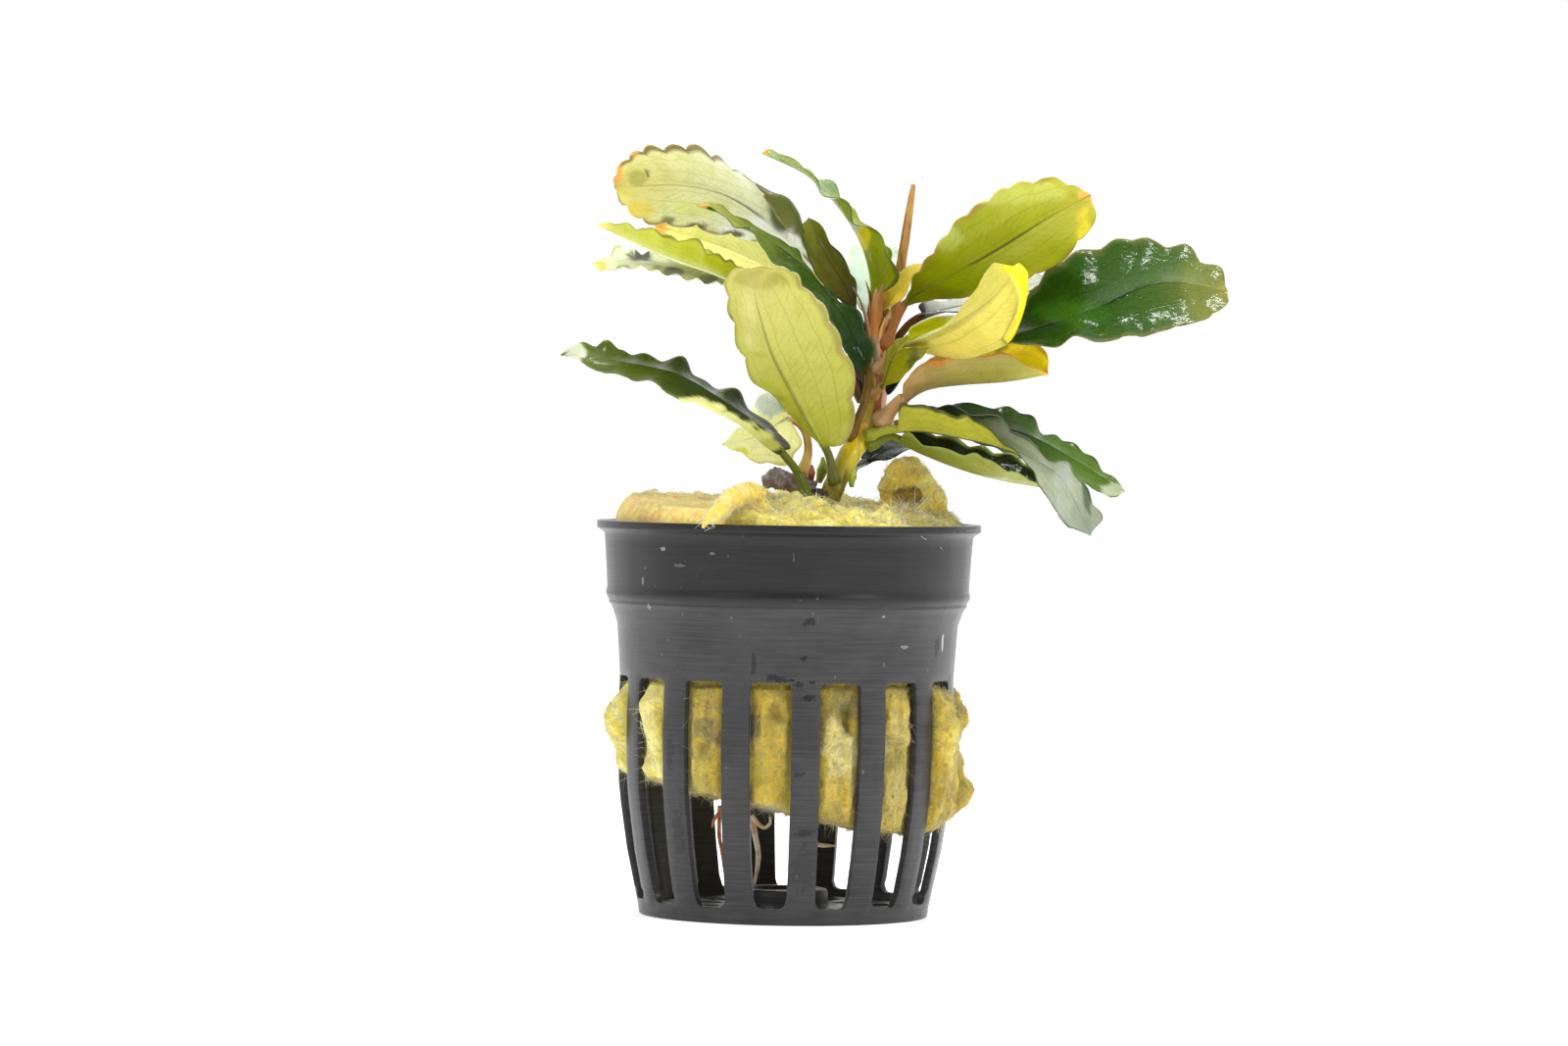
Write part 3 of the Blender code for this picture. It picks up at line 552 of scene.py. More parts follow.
LEAVES = {
    "leaf_upper_left": Leaf(
        height=77.3, heading=150, blade=0.22, lobe=0.26, ripple=0.08, cup=-0.05,
        route=[(8.5, 4.5, 83), (2.5, 6.5, 90), (-2.5, 7.5, 94.5), (-9, 8, 99), (-16, 8.5, 100.5),
            (-25, 8, 100)],
        left=[(823, 252, 4), (810, 238, 3.5), (796, 222, 4), (785, 204, 5), (771, 188, 6.5), (748, 174, 7),
            (727, 160, 6.5), (700, 151, 6.5), (678, 152, 6.5), (657, 154, 6.5), (641, 163, 7), (630, 177, 8)],
        left_fold=[(823, 236, 5), (815, 216, 5.5), (804, 201, 6), (786, 197, 6.5), (765, 190, 7),
            (740, 180, 7), (700, 169, 7), (660, 169, 7.5), (640, 180, 8)],
        right=[(812, 261, 8), (790, 252, 9), (765, 242, 10), (740, 236, 10), (710, 229, 10.5), (680, 226, 10),
            (662, 225, 10), (648, 216, 9.5), (637, 205, 9)],
        left_notches=[(781, 196), (768, 184), (747, 174), (727, 160), (700, 151), (678, 152), (657, 154),
            (641, 163), (630, 177)],
        right_notches=[(790, 252), (775, 246), (747, 238), (711, 230), (680, 226), (655, 221), (640, 208)],
        look=Look([(92, 98, 44), (96, 104, 48), (150, 156, 90)], [(212, 214, 190), (238, 240, 236),
            (224, 226, 208), (210, 208, 166), (194, 186, 104)], "pale", "leaf_pale", rim=(104, 84, 44),
            # the bluish white patches at (770, 236) and (808, 251) are a painted highlight; the olive one at
            # (799, 216) is painted shade
            midrib=(104, 110, 46), midrib_width=0.04, patches=[(770, 236, 40, 17, (244, 246, 252), 0.9),
            (808, 251, 15, 13, (246, 248, 255), 0.95), (799, 216, 17, 22, (104, 108, 44), 0.95),
            (650, 214, 18, 10, (206, 184, 60), 0.7), (650, 182, 12, 9, (158, 156, 84), 0.7),
            (661, 177, 3, 3, (96, 74, 40), 0.9), (630, 178, 5, 14, (216, 150, 84), 0.75),
            (643, 154, 8, 5, (222, 168, 104), 0.7), (682, 225, 9, 4, (98, 96, 44), 0.8),
            (711, 231, 13, 4, (84, 84, 38), 0.85), (748, 239, 13, 4, (84, 84, 38), 0.85),
            (776, 247, 10, 3, (112, 112, 60), 0.7), (712, 212, 34, 8, (206, 210, 132), 0.7)])),
    "leaf_upper_left_back": Leaf(
        height=75.3, heading=110, blade=0.3, half_width=4.6, face=(0.1, 0.9, 0.4), waves=6,
        route=[(5.5, 10, 83), (-1, 13, 88), (-8, 15, 91.5), (-14, 16.5, 93.5), (-19.5, 17, 95)],
        look=Look([(210, 214, 130), (226, 226, 150)], [(226, 228, 150), (240, 238, 170), (236, 232, 150)],
            "pale", "leaf_pale", rim=(180, 168, 84), tip=(225, 170, 80))),
    "leaf_left_lime": Leaf(
        height=72.0, heading=165, blade=0.3, lobe=0.12, ripple=0.07, cup=-0.1,
        route=[(5.5, -0.5, 79), (-1, -2.5, 83.5), (-9.5, -4.5, 87.5), (-15.5, -5.5, 89.5),
            (-20.5, -5.5, 91.5), (-27, -5.5, 94.5)],
        left=[(757, 275, -5), (740, 264, -7.5), (722, 257, -8.5), (711, 247, -9), (690, 244, -9),
            (676, 238, -9), (648, 233, -8), (627, 228, -6.5)],
        right=[(753, 276, -1.5), (735, 266, 1), (712, 252, 1), (690, 245, 1), (668, 239, -0.5),
            (645, 234, -2.5), (625, 229, -4.5)],
        left_notches=[(740, 264), (723, 258), (692, 244), (678, 239), (650, 234), (628, 228)],
        right_notches=[(735, 266), (712, 252), (690, 245), (668, 239), (645, 234)],
        look=Look([(146, 156, 14), (176, 184, 28), (182, 180, 70)], [(156, 166, 10), (182, 190, 30),
            (184, 188, 50), (184, 182, 84)], "pale", "leaf_lime", rim=(104, 98, 36), tip=(226, 206, 130),
            midrib=(222, 226, 190), midrib_width=0.12)),
    "leaf_left_pale": Leaf(
        height=73.6, heading=130, blade=0.3, lobe=0.16, ripple=0.12, cup=-0.1,
        route=[(4.5, 6, 79), (-4, 7.5, 85), (-14.5, 8, 88.5), (-22.5, 7.5, 89.5), (-28, 7.5, 89.5)],
        left=[(745, 290, 5), (722, 286, 4), (700, 281, 3.5), (680, 277, 3.5), (655, 274, 4), (630, 274, 5),
            (614, 276, 6.5)],
        right=[(735, 273, 10.5), (705, 265, 11.5), (680, 259, 11.5), (655, 257, 11), (632, 254, 10),
            (617, 264, 8.5)],
        left_notches=[(738, 288), (722, 286), (701, 281), (680, 277), (664, 275), (645, 274), (626, 274)],
        right_notches=[(720, 269), (697, 263), (676, 258), (655, 257), (640, 255), (622, 260)],
        look=Look([(88, 100, 44), (150, 158, 96), (232, 236, 214)], [(110, 122, 52), (226, 230, 190),
            (240, 242, 226)], "pale", "leaf_pale", rim=(150, 140, 84),
            patches=[(653, 261, 14, 7, (56, 64, 30), 0.95), (688, 277, 13, 6, (58, 66, 30), 0.95),
            (722, 285, 12, 5, (60, 68, 32), 0.9), (636, 273, 7, 3, (120, 132, 60), 0.8),
            (671, 273, 6, 3, (120, 132, 60), 0.8), (611, 272, 9, 9, (224, 192, 92), 0.8)])),
    "leaf_dark_upper_left": Leaf(
        height=66.6, heading=-140, blade=0.2, lobe=0.10, ripple=0.06, cup=-0.08,
        route=[(10, -4, 70.5), (10.5, -4, 74.5), (9, -4, 78.5), (6.5, -2.5, 83), (3, -1.5, 87.5),
            (-1.5, 0, 91.5), (-6.5, 1.5, 94.5), (-10, 2, 96.5), (-13.5, 3, 97.5)],
        left=[(878, 378, -5), (866, 362, -5.5), (855, 341, -5.5), (845, 320, -5.5), (835, 304, -5),
            (817, 293, -4.5), (809, 274, -4), (790, 268, -3), (781, 252, -2.5), (771, 237, -1.5),
            (755, 231, -0.5), (737, 219, 1), (725, 211, 2)],
        right=[(889, 360, -2.5), (881, 331, -1), (869, 315, -0.5), (855, 305, 0), (847, 294, 0),
            (830, 283, 0.5), (818, 262, 1), (806, 250, 1.5), (785, 241, 1.5), (766, 227, 2), (748, 219, 2),
            (732, 208, 2.5)],
        left_notches=[(866, 362), (846, 322), (834, 303), (811, 276), (778, 243), (751, 224), (731, 214)],
        right_notches=[(883, 336), (856, 307), (846, 293), (819, 263), (806, 250), (768, 229), (748, 219),
            (730, 208)],
        look=Look([(26, 50, 22), (34, 58, 18), (54, 78, 16), (104, 120, 40), (176, 178, 96)], DARK, "glossy",
            rim=(64, 92, 62), midrib=(10, 34, 28), patches=[(716, 208, 8, 6, (238, 190, 110), 0.8)])),
    "leaf_olive_upper": Leaf(
        height=78.4, heading=-170, blade=0.15, lobe=0.06, ripple=0.05, cup=-0.12,
        route=[(8.5, 1.5, 83), (7, 3, 87), (4.5, 4, 91), (2, 5, 96)],
        left=[(861, 310, 1), (846, 296, 1), (834, 280, 1.5), (826, 264, 2.5), (821, 248, 3.5),
            (818, 232, 4.5)],
        right=[(873, 292, 3), (868, 278, 4), (858, 262, 4.5), (845, 244, 5.5), (834, 229, 6), (826, 222, 6)],
        left_notches=[(850, 300), (835, 282), (824, 258)],
        right_notches=[(868, 278), (848, 248)],
        look=Look([(72, 56, 14), (86, 80, 14), (102, 104, 24), (134, 138, 38)], DARK, "mid", "leaf_olive",
            rim=(60, 60, 28), midrib=(58, 52, 24), petiole=(120, 80, 42))),
    "leaf_thin_top": Leaf(
        height=81.2, heading=120, blade=0.1, lobe=0.10, ripple=0.06, cup=-0.08,
        route=[(11, 3, 87.5), (8.5, 3.5, 94.5), (2.5, 4.5, 101.5), (-4.5, 5, 105)],
        left=[(911, 288, 0.5), (911, 270, -0.5), (901, 250, -1), (886, 233, -0.5), (873, 228, 0),
            (866, 214, 1), (856, 204, 1.5), (840, 198, 2), (833, 185, 3), (822, 172, 3.5), (802, 160, 4),
            (785, 153, 5)],
        right=[(910, 268, 6), (896, 244, 7), (879, 225, 7), (868, 212, 7), (857, 199, 7), (846, 184, 7),
            (833, 180, 6.5), (820, 171, 6), (802, 167, 5.5), (786, 158, 5.5)],
        left_notches=[(873, 228), (838, 197), (822, 172)],
        right_notches=[(879, 225), (860, 206), (836, 181), (815, 170)],
        look=Look([(150, 158, 8), (140, 154, 8), (134, 152, 26), (150, 168, 96), (170, 184, 146)],
            [(150, 158, 8), (140, 154, 8), (134, 152, 26), (154, 172, 104), (176, 188, 152)], "mid",
            "leaf_lime", rim=(74, 92, 40), midrib=(190, 196, 120),
            patches=[(880, 244, 9, 14, (222, 206, 20), 0.8), (779, 155, 7, 5, (206, 176, 50), 0.9),
            (845, 190, 12, 9, (120, 146, 108), 0.75)])),
    "leaf_back_pale": Leaf(
        height=79.0, heading=85, blade=0.2, half_width=4.2, face=(0.0, -0.5, 0.85),
        route=[(12, 9, 84.5), (11.5, 15, 89.5), (11.5, 20, 94.5)],
        look=Look([(186, 206, 198), (204, 220, 214)], [(196, 210, 160)] * 2, "pale", "leaf_pale",
            rim=(190, 204, 196))),
    "leaf_upper_right": Leaf(
        height=79.3, heading=-30, blade=0.15, lobe=0.12, ripple=0.05, cup=-0.06,
        route=[(16, -2.5, 85), (21, -4, 88), (28, -5, 92), (35, -6, 96.5), (40.5, -6, 99.5)],
        left=[(950, 305, -2), (975, 304, -1.5), (1003, 298, -1.5), (1030, 290, -2), (1055, 279, -2.5),
            (1078, 267, -3), (1094, 251, -4), (1105, 236, -4.5), (1113, 220, -5.5), (1113, 204, -6)],
        right=[(932, 288, -4.5), (943, 269, -6.5), (957, 251, -8), (968, 237, -8.5), (986, 220, -8.5),
            (1008, 205, -9), (1028, 192, -9), (1052, 186, -8.5), (1075, 183, -8), (1093, 190, -7)],
        left_notches=[(975, 304), (1015, 294), (1055, 279), (1099, 243)],
        right_notches=[(953, 257), (967, 238), (986, 220), (1009, 205), (1029, 191), (1053, 186),
            (1088, 186)],
        look=Look(DARK, [(84, 90, 2), (142, 150, 6), (174, 178, 42), (180, 176, 58)], "mid", "leaf_green",
            rim=(150, 126, 52), tip=(226, 176, 76), tip_from=0.985, midrib=(70, 68, 26), midrib_width=0.05,
            petiole=(168, 110, 60), patches=[(1030, 196, 60, 14, (198, 202, 110), 0.55),
            (968, 242, 14, 16, (184, 196, 104), 0.55), (1106, 238, 10, 24, (222, 202, 50), 0.8),
            (990, 285, 60, 14, (140, 158, 4), 0.5), (1106, 199, 7, 7, (226, 180, 90), 0.7)])),
    "leaf_young": Leaf(
        height=81.0, heading=10, blade=0.1, lobe=0.02, ripple=0.02, waves=2, petiole=0.5,
        route=[(13.5, 1.5, 84.5), (16, 2, 87.5), (18.5, 2, 90)],
        left=[(899, 320, 1.5), (906, 315, 0.5), (916, 308, 0), (923, 301, 0), (928, 291, 0), (936, 279, 0.5)],
        right=[(896, 310, 1.5), (903, 297, 2.5), (911, 286, 3), (920, 277, 3), (931, 270, 3)],
        look=Look([(170, 146, 10), (206, 184, 40), (236, 210, 110)], [(170, 146, 10), (210, 188, 50),
            (238, 212, 120)], "mid", "leaf_orange", rim=(224, 182, 132), petiole=(150, 92, 36),
            patches=[(902, 303, 6, 12, (160, 92, 20), 0.6)])),
    "leaf_right_glossy": Leaf(
        height=73.2, heading=-20, blade=0.28, lobe=0.10, ripple=0.05, cup=-0.08,
        route=[(18, -6.5, 78), (24, -10, 79), (30, -11.5, 80), (40.5, -13, 83.5), (49.5, -13, 87.5),
            (59, -12, 86.5)],
        left=[(1008, 346, -8.5), (1034, 334, -7), (1049, 305, -5), (1066, 281, -3), (1090, 263, -2),
            (1116, 256, -1.5), (1140, 247, -2), (1160, 245, -2.5), (1188, 250, -3.5), (1210, 252, -4.5),
            (1228, 266, -7), (1246, 277, -9.5)],
        right=[(1000, 360, -10.5), (1030, 350, -13), (1052, 352, -15.5), (1078, 354, -17.5),
            (1096, 341, -18.5), (1120, 349, -19), (1144, 343, -19.5), (1168, 341, -19), (1200, 332, -18),
            (1228, 325, -16.5), (1248, 310, -14)],
        left_notches=[(1060, 290), (1083, 266), (1122, 255), (1154, 245), (1190, 251), (1225, 265),
            (1248, 292)],
        right_notches=[(1036, 348), (1096, 339), (1146, 342), (1160, 343), (1200, 332), (1238, 319)],
        look=Look([(20, 40, 10), (26, 58, 8), (40, 76, 14), (66, 94, 36), (112, 120, 60)], [(150, 165, 70)] *
            2, "glossy", rim=(96, 100, 52), tip=(150, 138, 70), tip_from=0.97, midrib=(12, 36, 26),
            petiole=(24, 34, 16), patches=[(1095, 318, 40, 14, (50, 100, 14), 0.6),
            (1236, 292, 34, 46, (122, 126, 62), 0.55)])),
    "leaf_front_yellow": Leaf(
        height=75.6, heading=-70, blade=0.25, lobe=0.03, ripple=0.03, cup=-0.05,
        route=[(14.5, -6.5, 78), (18.5, -12, 79.5), (23, -17, 82), (27, -20, 85), (30, -22, 89)],
        left_fold=[(963, 363, -9.5), (985, 363, -11), (1008, 357, -12.5), (1031, 345, -15), (1042, 322, -18),
            (1049, 300, -21), (1048, 279, -22), (1040, 269, -22)],
        left=[(963, 362, -9.5), (985, 361, -11), (1006, 354, -13), (1026, 340, -16), (1039, 313, -20.5),
            (1036, 295, -22.5), (1030, 281, -23.5), (1024, 273, -23)],
        right=[(955, 342, -10), (968, 330, -12), (983, 312, -14), (997, 294, -16), (1008, 276, -18),
            (1016, 269, -20)],
        look=Look([(252, 214, 6), (254, 222, 4)], [(202, 182, 92), (212, 200, 94), (216, 206, 92)], "pale",
            "leaf_yellow", rim=(206, 192, 84), petiole=(196, 158, 106), midrib=(170, 162, 70),
            patches=[(1036, 272, 15, 9, (252, 218, 6), 0.95)])),
    "leaf_lower_right_olive": Leaf(
        height=68.6, heading=-45, blade=0.16, lobe=0.05, ripple=0.05, cup=-0.12, petiole=0.9,
        route=[(14.5, -4, 70.5), (16.5, -5, 72), (19, -6, 73), (23, -7, 73.5), (29.5, -8, 74), (35, -8, 75)],
        left=[(928, 385, -3), (945, 369, -2.5), (968, 361, -2.5), (1000, 353, -3), (1030, 347, -3.5),
            (1052, 350, -5), (1067, 363, -6.5)],
        right=[(926, 386, -7.5), (945, 372, -9), (968, 365, -10), (1000, 362, -10.5), (1028, 364, -11),
            (1048, 372, -10), (1062, 379, -9)],
        left_notches=[(985, 356), (1043, 348)],
        right_notches=[(962, 366), (1006, 362)],
        look=Look([(190, 150, 60), (150, 160, 40), (246, 212, 30), (250, 216, 40)], [(190, 152, 104),
            (164, 148, 80), (160, 154, 70), (176, 168, 70)], "mid", "leaf_olive", rim=(178, 128, 60),
            tip=(216, 170, 70), petiole=(198, 156, 116), midrib=(150, 134, 74),
            patches=[(948, 368, 22, 6, (196, 124, 44), 0.7), (1015, 355, 18, 4, (96, 110, 36), 0.7)])),
    "leaf_small_front": Leaf(
        height=71.8, heading=-95, blade=0.25, lobe=0.04, ripple=0.04, cup=-0.1,
        route=[(12.5, -5.5, 73), (13, -8.5, 75), (13.5, -11, 76.5), (14.5, -13, 78)],
        left=[(902, 386, -6), (902, 368, -7), (908, 353, -8.5), (919, 345, -10.5), (928, 343, -12)],
        right=[(918, 388, -7.5), (929, 375, -9), (940, 364, -11), (947, 354, -12)],
        look=Look([(142, 138, 10), (124, 124, 10)], [(160, 146, 40), (142, 140, 20), (126, 128, 20)], "mid",
            "leaf_olive", midrib=(80, 72, 30), midrib_width=0.1, petiole=(176, 132, 74),
            patches=[(932, 368, 6, 16, (66, 62, 26), 0.7)])),
    "leaf_edge_on_right": Leaf(
        height=77.3, heading=30, blade=0.3, waves=5, lobe=0.04, ripple=0.03,
        route=[(14.5, 2, 79.5), (17.5, 2.5, 82.5), (24.5, 4, 84.5), (35, 6, 88)],
        left=[(938, 310, 4.5), (960, 307, 7), (985, 301, 8.5), (1010, 293, 9.5), (1035, 284, 10),
            (1055, 277, 9)],
        right=[(942, 321, 1), (960, 320, -0.5), (985, 317, -1), (1010, 311, -1), (1035, 304, 0),
            (1055, 295, 1.5)],
        look=Look([(110, 114, 110), (216, 220, 214), (170, 176, 160)], DARK, "glossy", petiole=(86, 54, 30),
            rim=(22, 26, 22), midrib=(24, 28, 24), midrib_width=0.08,
            patches=[(938, 316, 8, 9, (16, 20, 16), 0.95), (968, 321, 26, 3, (22, 26, 22), 0.9)])),
    "leaf_lime_right": Leaf(
        height=75.6, heading=0, blade=0.25, waves=3, lobe=0.02, ripple=0.02,
        route=[(14.5, 0, 78), (17, -1, 80), (22.5, -1, 82), (30, 0, 83.5)],
        left=[(930, 346, 1), (945, 345, 2), (958, 338, 2.5), (975, 331, 3), (995, 325, 3)],
        right=[(928, 336, -1.5), (936, 330, -2.5), (950, 325, -3), (965, 322, -3.5), (982, 320, -3.5),
            (1002, 316, -3)],
        look=Look([(214, 220, 8)] * 2, [(200, 208, 4), (222, 226, 8), (226, 230, 40)], "pale", "leaf_lime",
            rim=(236, 238, 190), petiole=(150, 132, 50))),
    "leaf_low_right_back": Leaf(
        height=67.0, heading=35, blade=0.15, lobe=0.10, ripple=0.06, cup=-0.08,
        route=[(15.5, 3, 68), (20, 4, 68.5), (26, 5, 68), (33, 6, 66.5), (40.5, 6, 62.5), (46.5, 5, 59)],
        left=[(950, 416, 6), (972, 414, 8), (1000, 415, 9), (1030, 417, 10), (1052, 426, 10), (1063, 441, 10),
            (1080, 446, 10), (1098, 455, 9), (1112, 465, 8.5), (1125, 479, 7.5), (1140, 491, 6)],
        right=[(955, 438, 2), (985, 446, 0.5), (1015, 456, 0), (1045, 469, 0.5), (1072, 481, 1),
            (1098, 490, 1.5), (1116, 499, 2.5), (1135, 507, 4)],
        left_notches=[(962, 415), (1014, 417), (1040, 420), (1064, 442), (1086, 447), (1106, 462),
            (1126, 479)],
        right_notches=[(970, 442), (1000, 451), (1030, 462), (1060, 477), (1098, 490), (1118, 500)],
        look=Look([(22, 30, 12), (34, 52, 14), (52, 78, 20), (76, 104, 30), (90, 110, 46)], [(160, 172, 90)] *
            2, "glossy", rim=(30, 46, 32), midrib=(16, 34, 22),
            patches=[(1136, 500, 14, 8, (176, 184, 160), 0.8)])),
    "leaf_low_right": Leaf(
        height=66.4, heading=-60, blade=0.1, lobe=0.10, ripple=0.06, cup=-0.06,
        route=[(14, -4.5, 67), (18.5, -7, 67), (24, -9.5, 66), (28.5, -11, 65), (32.5, -12, 63.5),
            (36.5, -12.5, 61), (39, -12, 57), (41, -11, 53)],
        left=[(922, 420, -3), (945, 415, -2.5), (968, 416, -3.5), (986, 420, -5), (1004, 428, -6.5),
            (1022, 430, -7.5), (1036, 442, -9), (1054, 457, -9.5), (1072, 470, -10), (1092, 478, -10),
            (1106, 501, -9.5), (1120, 524, -10)],
        right=[(920, 414, -7.5), (938, 415, -9), (952, 417, -10), (968, 424, -11), (988, 425, -12),
            (1002, 436, -13), (1018, 448, -14), (1036, 462, -14.5), (1052, 476, -15), (1062, 495, -15),
            (1075, 516, -14.5), (1088, 535, -13.5), (1102, 541, -12)],
        left_notches=[(950, 415), (988, 421), (1033, 438), (1070, 470), (1095, 484), (1116, 515)],
        right_notches=[(952, 417), (977, 424), (994, 427), (1022, 455), (1047, 471), (1062, 495), (1079, 524),
            (1096, 538)],
        look=Look([(24, 30, 16), (40, 48, 24), (120, 130, 104), (166, 174, 152), (132, 142, 126)],
            [(180, 176, 66), (172, 170, 60), (160, 162, 60), (130, 144, 52)], "glossy", "leaf_silver",
            rim=(44, 58, 40), midrib=(70, 84, 76), petiole=(160, 166, 60),
            patches=[(1085, 500, 10, 34, (172, 182, 176), 0.6), (1110, 500, 7, 24, (46, 70, 44), 0.7)])),
    "leaf_low_right_under": Leaf(
        height=65.2, heading=-20, blade=0.15, lobe=0.10, ripple=0.06, cup=-0.1,
        route=[(14, -3, 66), (18, -4.5, 64), (23, -5.5, 62), (28.5, -6, 60.5), (34.5, -6.5, 59.5)],
        left=[(926, 439, -1.5), (955, 442, -1), (990, 453, -1), (1020, 461, -1.5), (1042, 468, -2.5),
            (1055, 482, -4.5)],
        right=[(926, 446, -5.5), (944, 452, -7), (962, 461, -8.5), (984, 463, -9), (1003, 466, -9.5),
            (1016, 476, -9.5), (1032, 479, -9), (1046, 486, -8)],
        left_notches=[(955, 442), (990, 453), (1015, 460), (1045, 470)],
        right_notches=[(944, 452), (985, 462), (1004, 466), (1029, 477), (1052, 486)],
        look=Look([(28, 34, 16), (30, 42, 18)], [(118, 130, 44), (144, 148, 64), (180, 180, 116)], "glossy",
            rim=(150, 160, 90), petiole=(120, 130, 50))),
    "leaf_low_back": Leaf(
        height=61.6, heading=60, blade=0.3, half_width=4.0, face=(-0.1, -0.45, 0.85), waves=3,
        route=[(10.5, 4.5, 62.5), (13.5, 7, 64), (16, 10, 64.5), (19.5, 13, 64)],
        look=Look([(20, 30, 14), (28, 44, 18)], DARK, "glossy", petiole=(60, 66, 30))),
    "leaf_low_left": Leaf(
        blade=0.16, lobe=0.10, ripple=0.04, cup=-0.06,
        route=[(2, -5, 58.5), (1, -5, 61), (-1, -6, 63.5), (-4, -7, 67), (-10, -8, 71), (-15.5, -8.5, 74),
            (-22.5, -9, 75.5), (-31.5, -8, 76.5)],
        left=[(795, 463, -7), (785, 457, -8), (775, 448, -9), (760, 437, -10), (745, 428, -10.5),
            (725, 417, -11), (708, 409, -12), (697, 409, -12.5), (682, 401, -13), (667, 389, -13),
            (650, 389, -13), (636, 383, -12.5), (618, 380, -11.5), (604, 376, -10.5), (590, 367, -9.5)],
        right=[(803, 455, -4), (795, 439, -3), (776, 426, -2.5), (763, 412, -2.5), (750, 397, -3),
            (730, 394, -3), (710, 382, -3.5), (696, 366, -3.5), (675, 367, -4), (655, 361, -4.5),
            (640, 360, -5), (620, 349, -5.5), (606, 353, -6), (588, 351, -7.5)],
        left_notches=[(785, 457), (708, 409), (674, 392), (640, 384), (613, 379), (596, 370)],
        right_notches=[(764, 414), (731, 395), (710, 380), (677, 367), (646, 362), (632, 352), (609, 353)],
        look=Look([(44, 48, 12), (40, 52, 10), (48, 64, 10), (70, 86, 14), (108, 122, 60)], [(176, 184, 90),
            (206, 208, 120)], "glossy", rim=(86, 98, 50), midrib=(30, 44, 20), petiole=(96, 106, 36),
            patches=[(587, 358, 11, 11, (212, 216, 200), 0.8), (708, 409, 16, 5, (222, 222, 150), 0.95),
            (724, 417, 18, 7, (222, 222, 150), 1.0), (740, 426, 18, 7, (216, 216, 140), 1.0),
            (754, 435, 20, 8, (206, 206, 124), 1.0), (768, 445, 20, 9, (190, 190, 104), 1.0),
            (781, 456, 16, 8, (170, 170, 84), 1.0)])),
    "leaf_front": Leaf(
        height=60.6, heading=-110, blade=0.14, lobe=0.12, ripple=0.05, cup=-0.04,
        route=[(5, -6, 64), (2, -8.5, 68.5), (-2.5, -12, 76.5), (-4.5, -14.5, 82.5), (-6, -15.5, 88.5)],
        left=[(856, 453, -6.5), (864, 440, -7), (868, 418, -8), (868, 394, -9), (864, 371, -10.5),
            (856, 350, -11.5), (847, 330, -12.5), (838, 311, -13.5), (829, 302, -14), (818, 292, -14.5),
            (811, 280, -15), (797, 274, -15), (781, 273, -15.5)],
        right=[(828, 445, -6.5), (813, 429, -7), (800, 414, -7.5), (787, 399, -8.5), (771, 388, -9.5),
            (763, 367, -10), (754, 356, -11), (751, 332, -12), (745, 320, -13), (744, 303, -13.5),
            (741, 288, -14.5), (752, 275, -15)],
        left_notches=[(868, 405), (859, 356), (846, 328), (835, 305), (818, 293), (806, 277)],
        right_notches=[(803, 417), (787, 399), (762, 365), (756, 358), (749, 330), (744, 304), (742, 284)],
        look=Look(DARK, [(162, 164, 52), (172, 174, 66), (180, 180, 84), (188, 184, 102), (194, 186, 116)],
            "pale", "leaf_pale", rim=(148, 138, 66), midrib=(124, 126, 42), midrib_width=0.045,
            petiole=(96, 100, 36), patches=[(764, 322, 9, 44, (204, 198, 132), 0.6),
            (776, 284, 30, 12, (156, 146, 60), 0.5), (743, 327, 5, 6, (70, 58, 30), 0.9),
            (766, 271, 6, 4, (214, 150, 70), 0.7)])),
    "leaf_low_left_pale": Leaf(
        blade=0.45, lobe=0.08, ripple=0.06, cup=-0.1,
        route=[(2, 0.5, 61.5), (2.5, 2, 64), (2, 3, 66.5), (0.5, 3.5, 68), (-1.5, 4.5, 67.5), (-5, 6, 65.5),
            (-9.5, 7, 64.5)],
        right=[(812, 438, 2), (816, 454, 1), (806, 470, 1.5), (786, 473, 2.5), (766, 468, 4),
            (750, 459, 5.5)],
        left=[(801, 414, 6), (791, 402, 7.5), (777, 405, 8.5), (768, 420, 9), (757, 436, 8.5), (747, 446, 8)],
        right_notches=[(812, 463), (785, 473)],
        left_notches=[(797, 407), (770, 415)],
        look=Look(DARK, [(236, 236, 160), (246, 246, 196), (244, 244, 188)], "pale", "leaf_pale",
            rim=(206, 204, 120), petiole=(206, 168, 90), midrib=(196, 196, 96),
            patches=[(786, 412, 20, 14, (186, 196, 198), 0.9), (757, 461, 8, 6, (214, 206, 70), 0.8)])),
}

BLADE_HALF_THICK = 0.14
# Shares of a half blade's width, from the midrib to the margin
SPREAD = np.array([0, 0.02, 0.05, 0.10, 0.19, 0.31, 0.44, 0.57, 0.69, 0.79, 0.87, 0.935, 0.975, 1.0])
BLADE_STATIONS = 110
PETIOLE_STATIONS = 12
ROOTED = 1.2             # how far a petiole's foot goes on into what carries it
FOOT_FLARE = 0.7         # how much wider a petiole is at its foot
FOLD_SHARE = 0.6         # share of a half's width where it bends over
BLADE_FOLD = math.radians(12)            # how far the halves of a leaf with no margins fold up


def stem_at(height):
    """Centre and radius of the stem at a height."""
    route = smooth_route(STEM_ROUTE)
    knots = [point[2] for point in STEM_ROUTE]
    return read_off(height, route[:, 2], route), np.interp(height, knots, STEM_RADII)


def leaf_route(leaf):
    """The leaf's dense route, from its foot on the stem when it has one."""
    if leaf.height is None:
        return smooth_route(leaf.route)
    centre, radius = stem_at(leaf.height)
    turn = math.radians(leaf.heading)
    out = np.array([math.cos(turn), math.sin(turn), 0.0])
    return smooth_route([centre + out * (radius + PETIOLE_GAP + leaf.petiole)] + leaf.route)


def stops(colours, t):
    """Linear colours along evenly placed stops at an array of shares."""
    return read_off(t, np.linspace(0, 1, len(colours)), np.array([linear(colour) for colour in colours]))


def blend(base, colour, weight):
    return base + (linear(colour) - base) * np.clip(weight, 0, 1)[:, None]


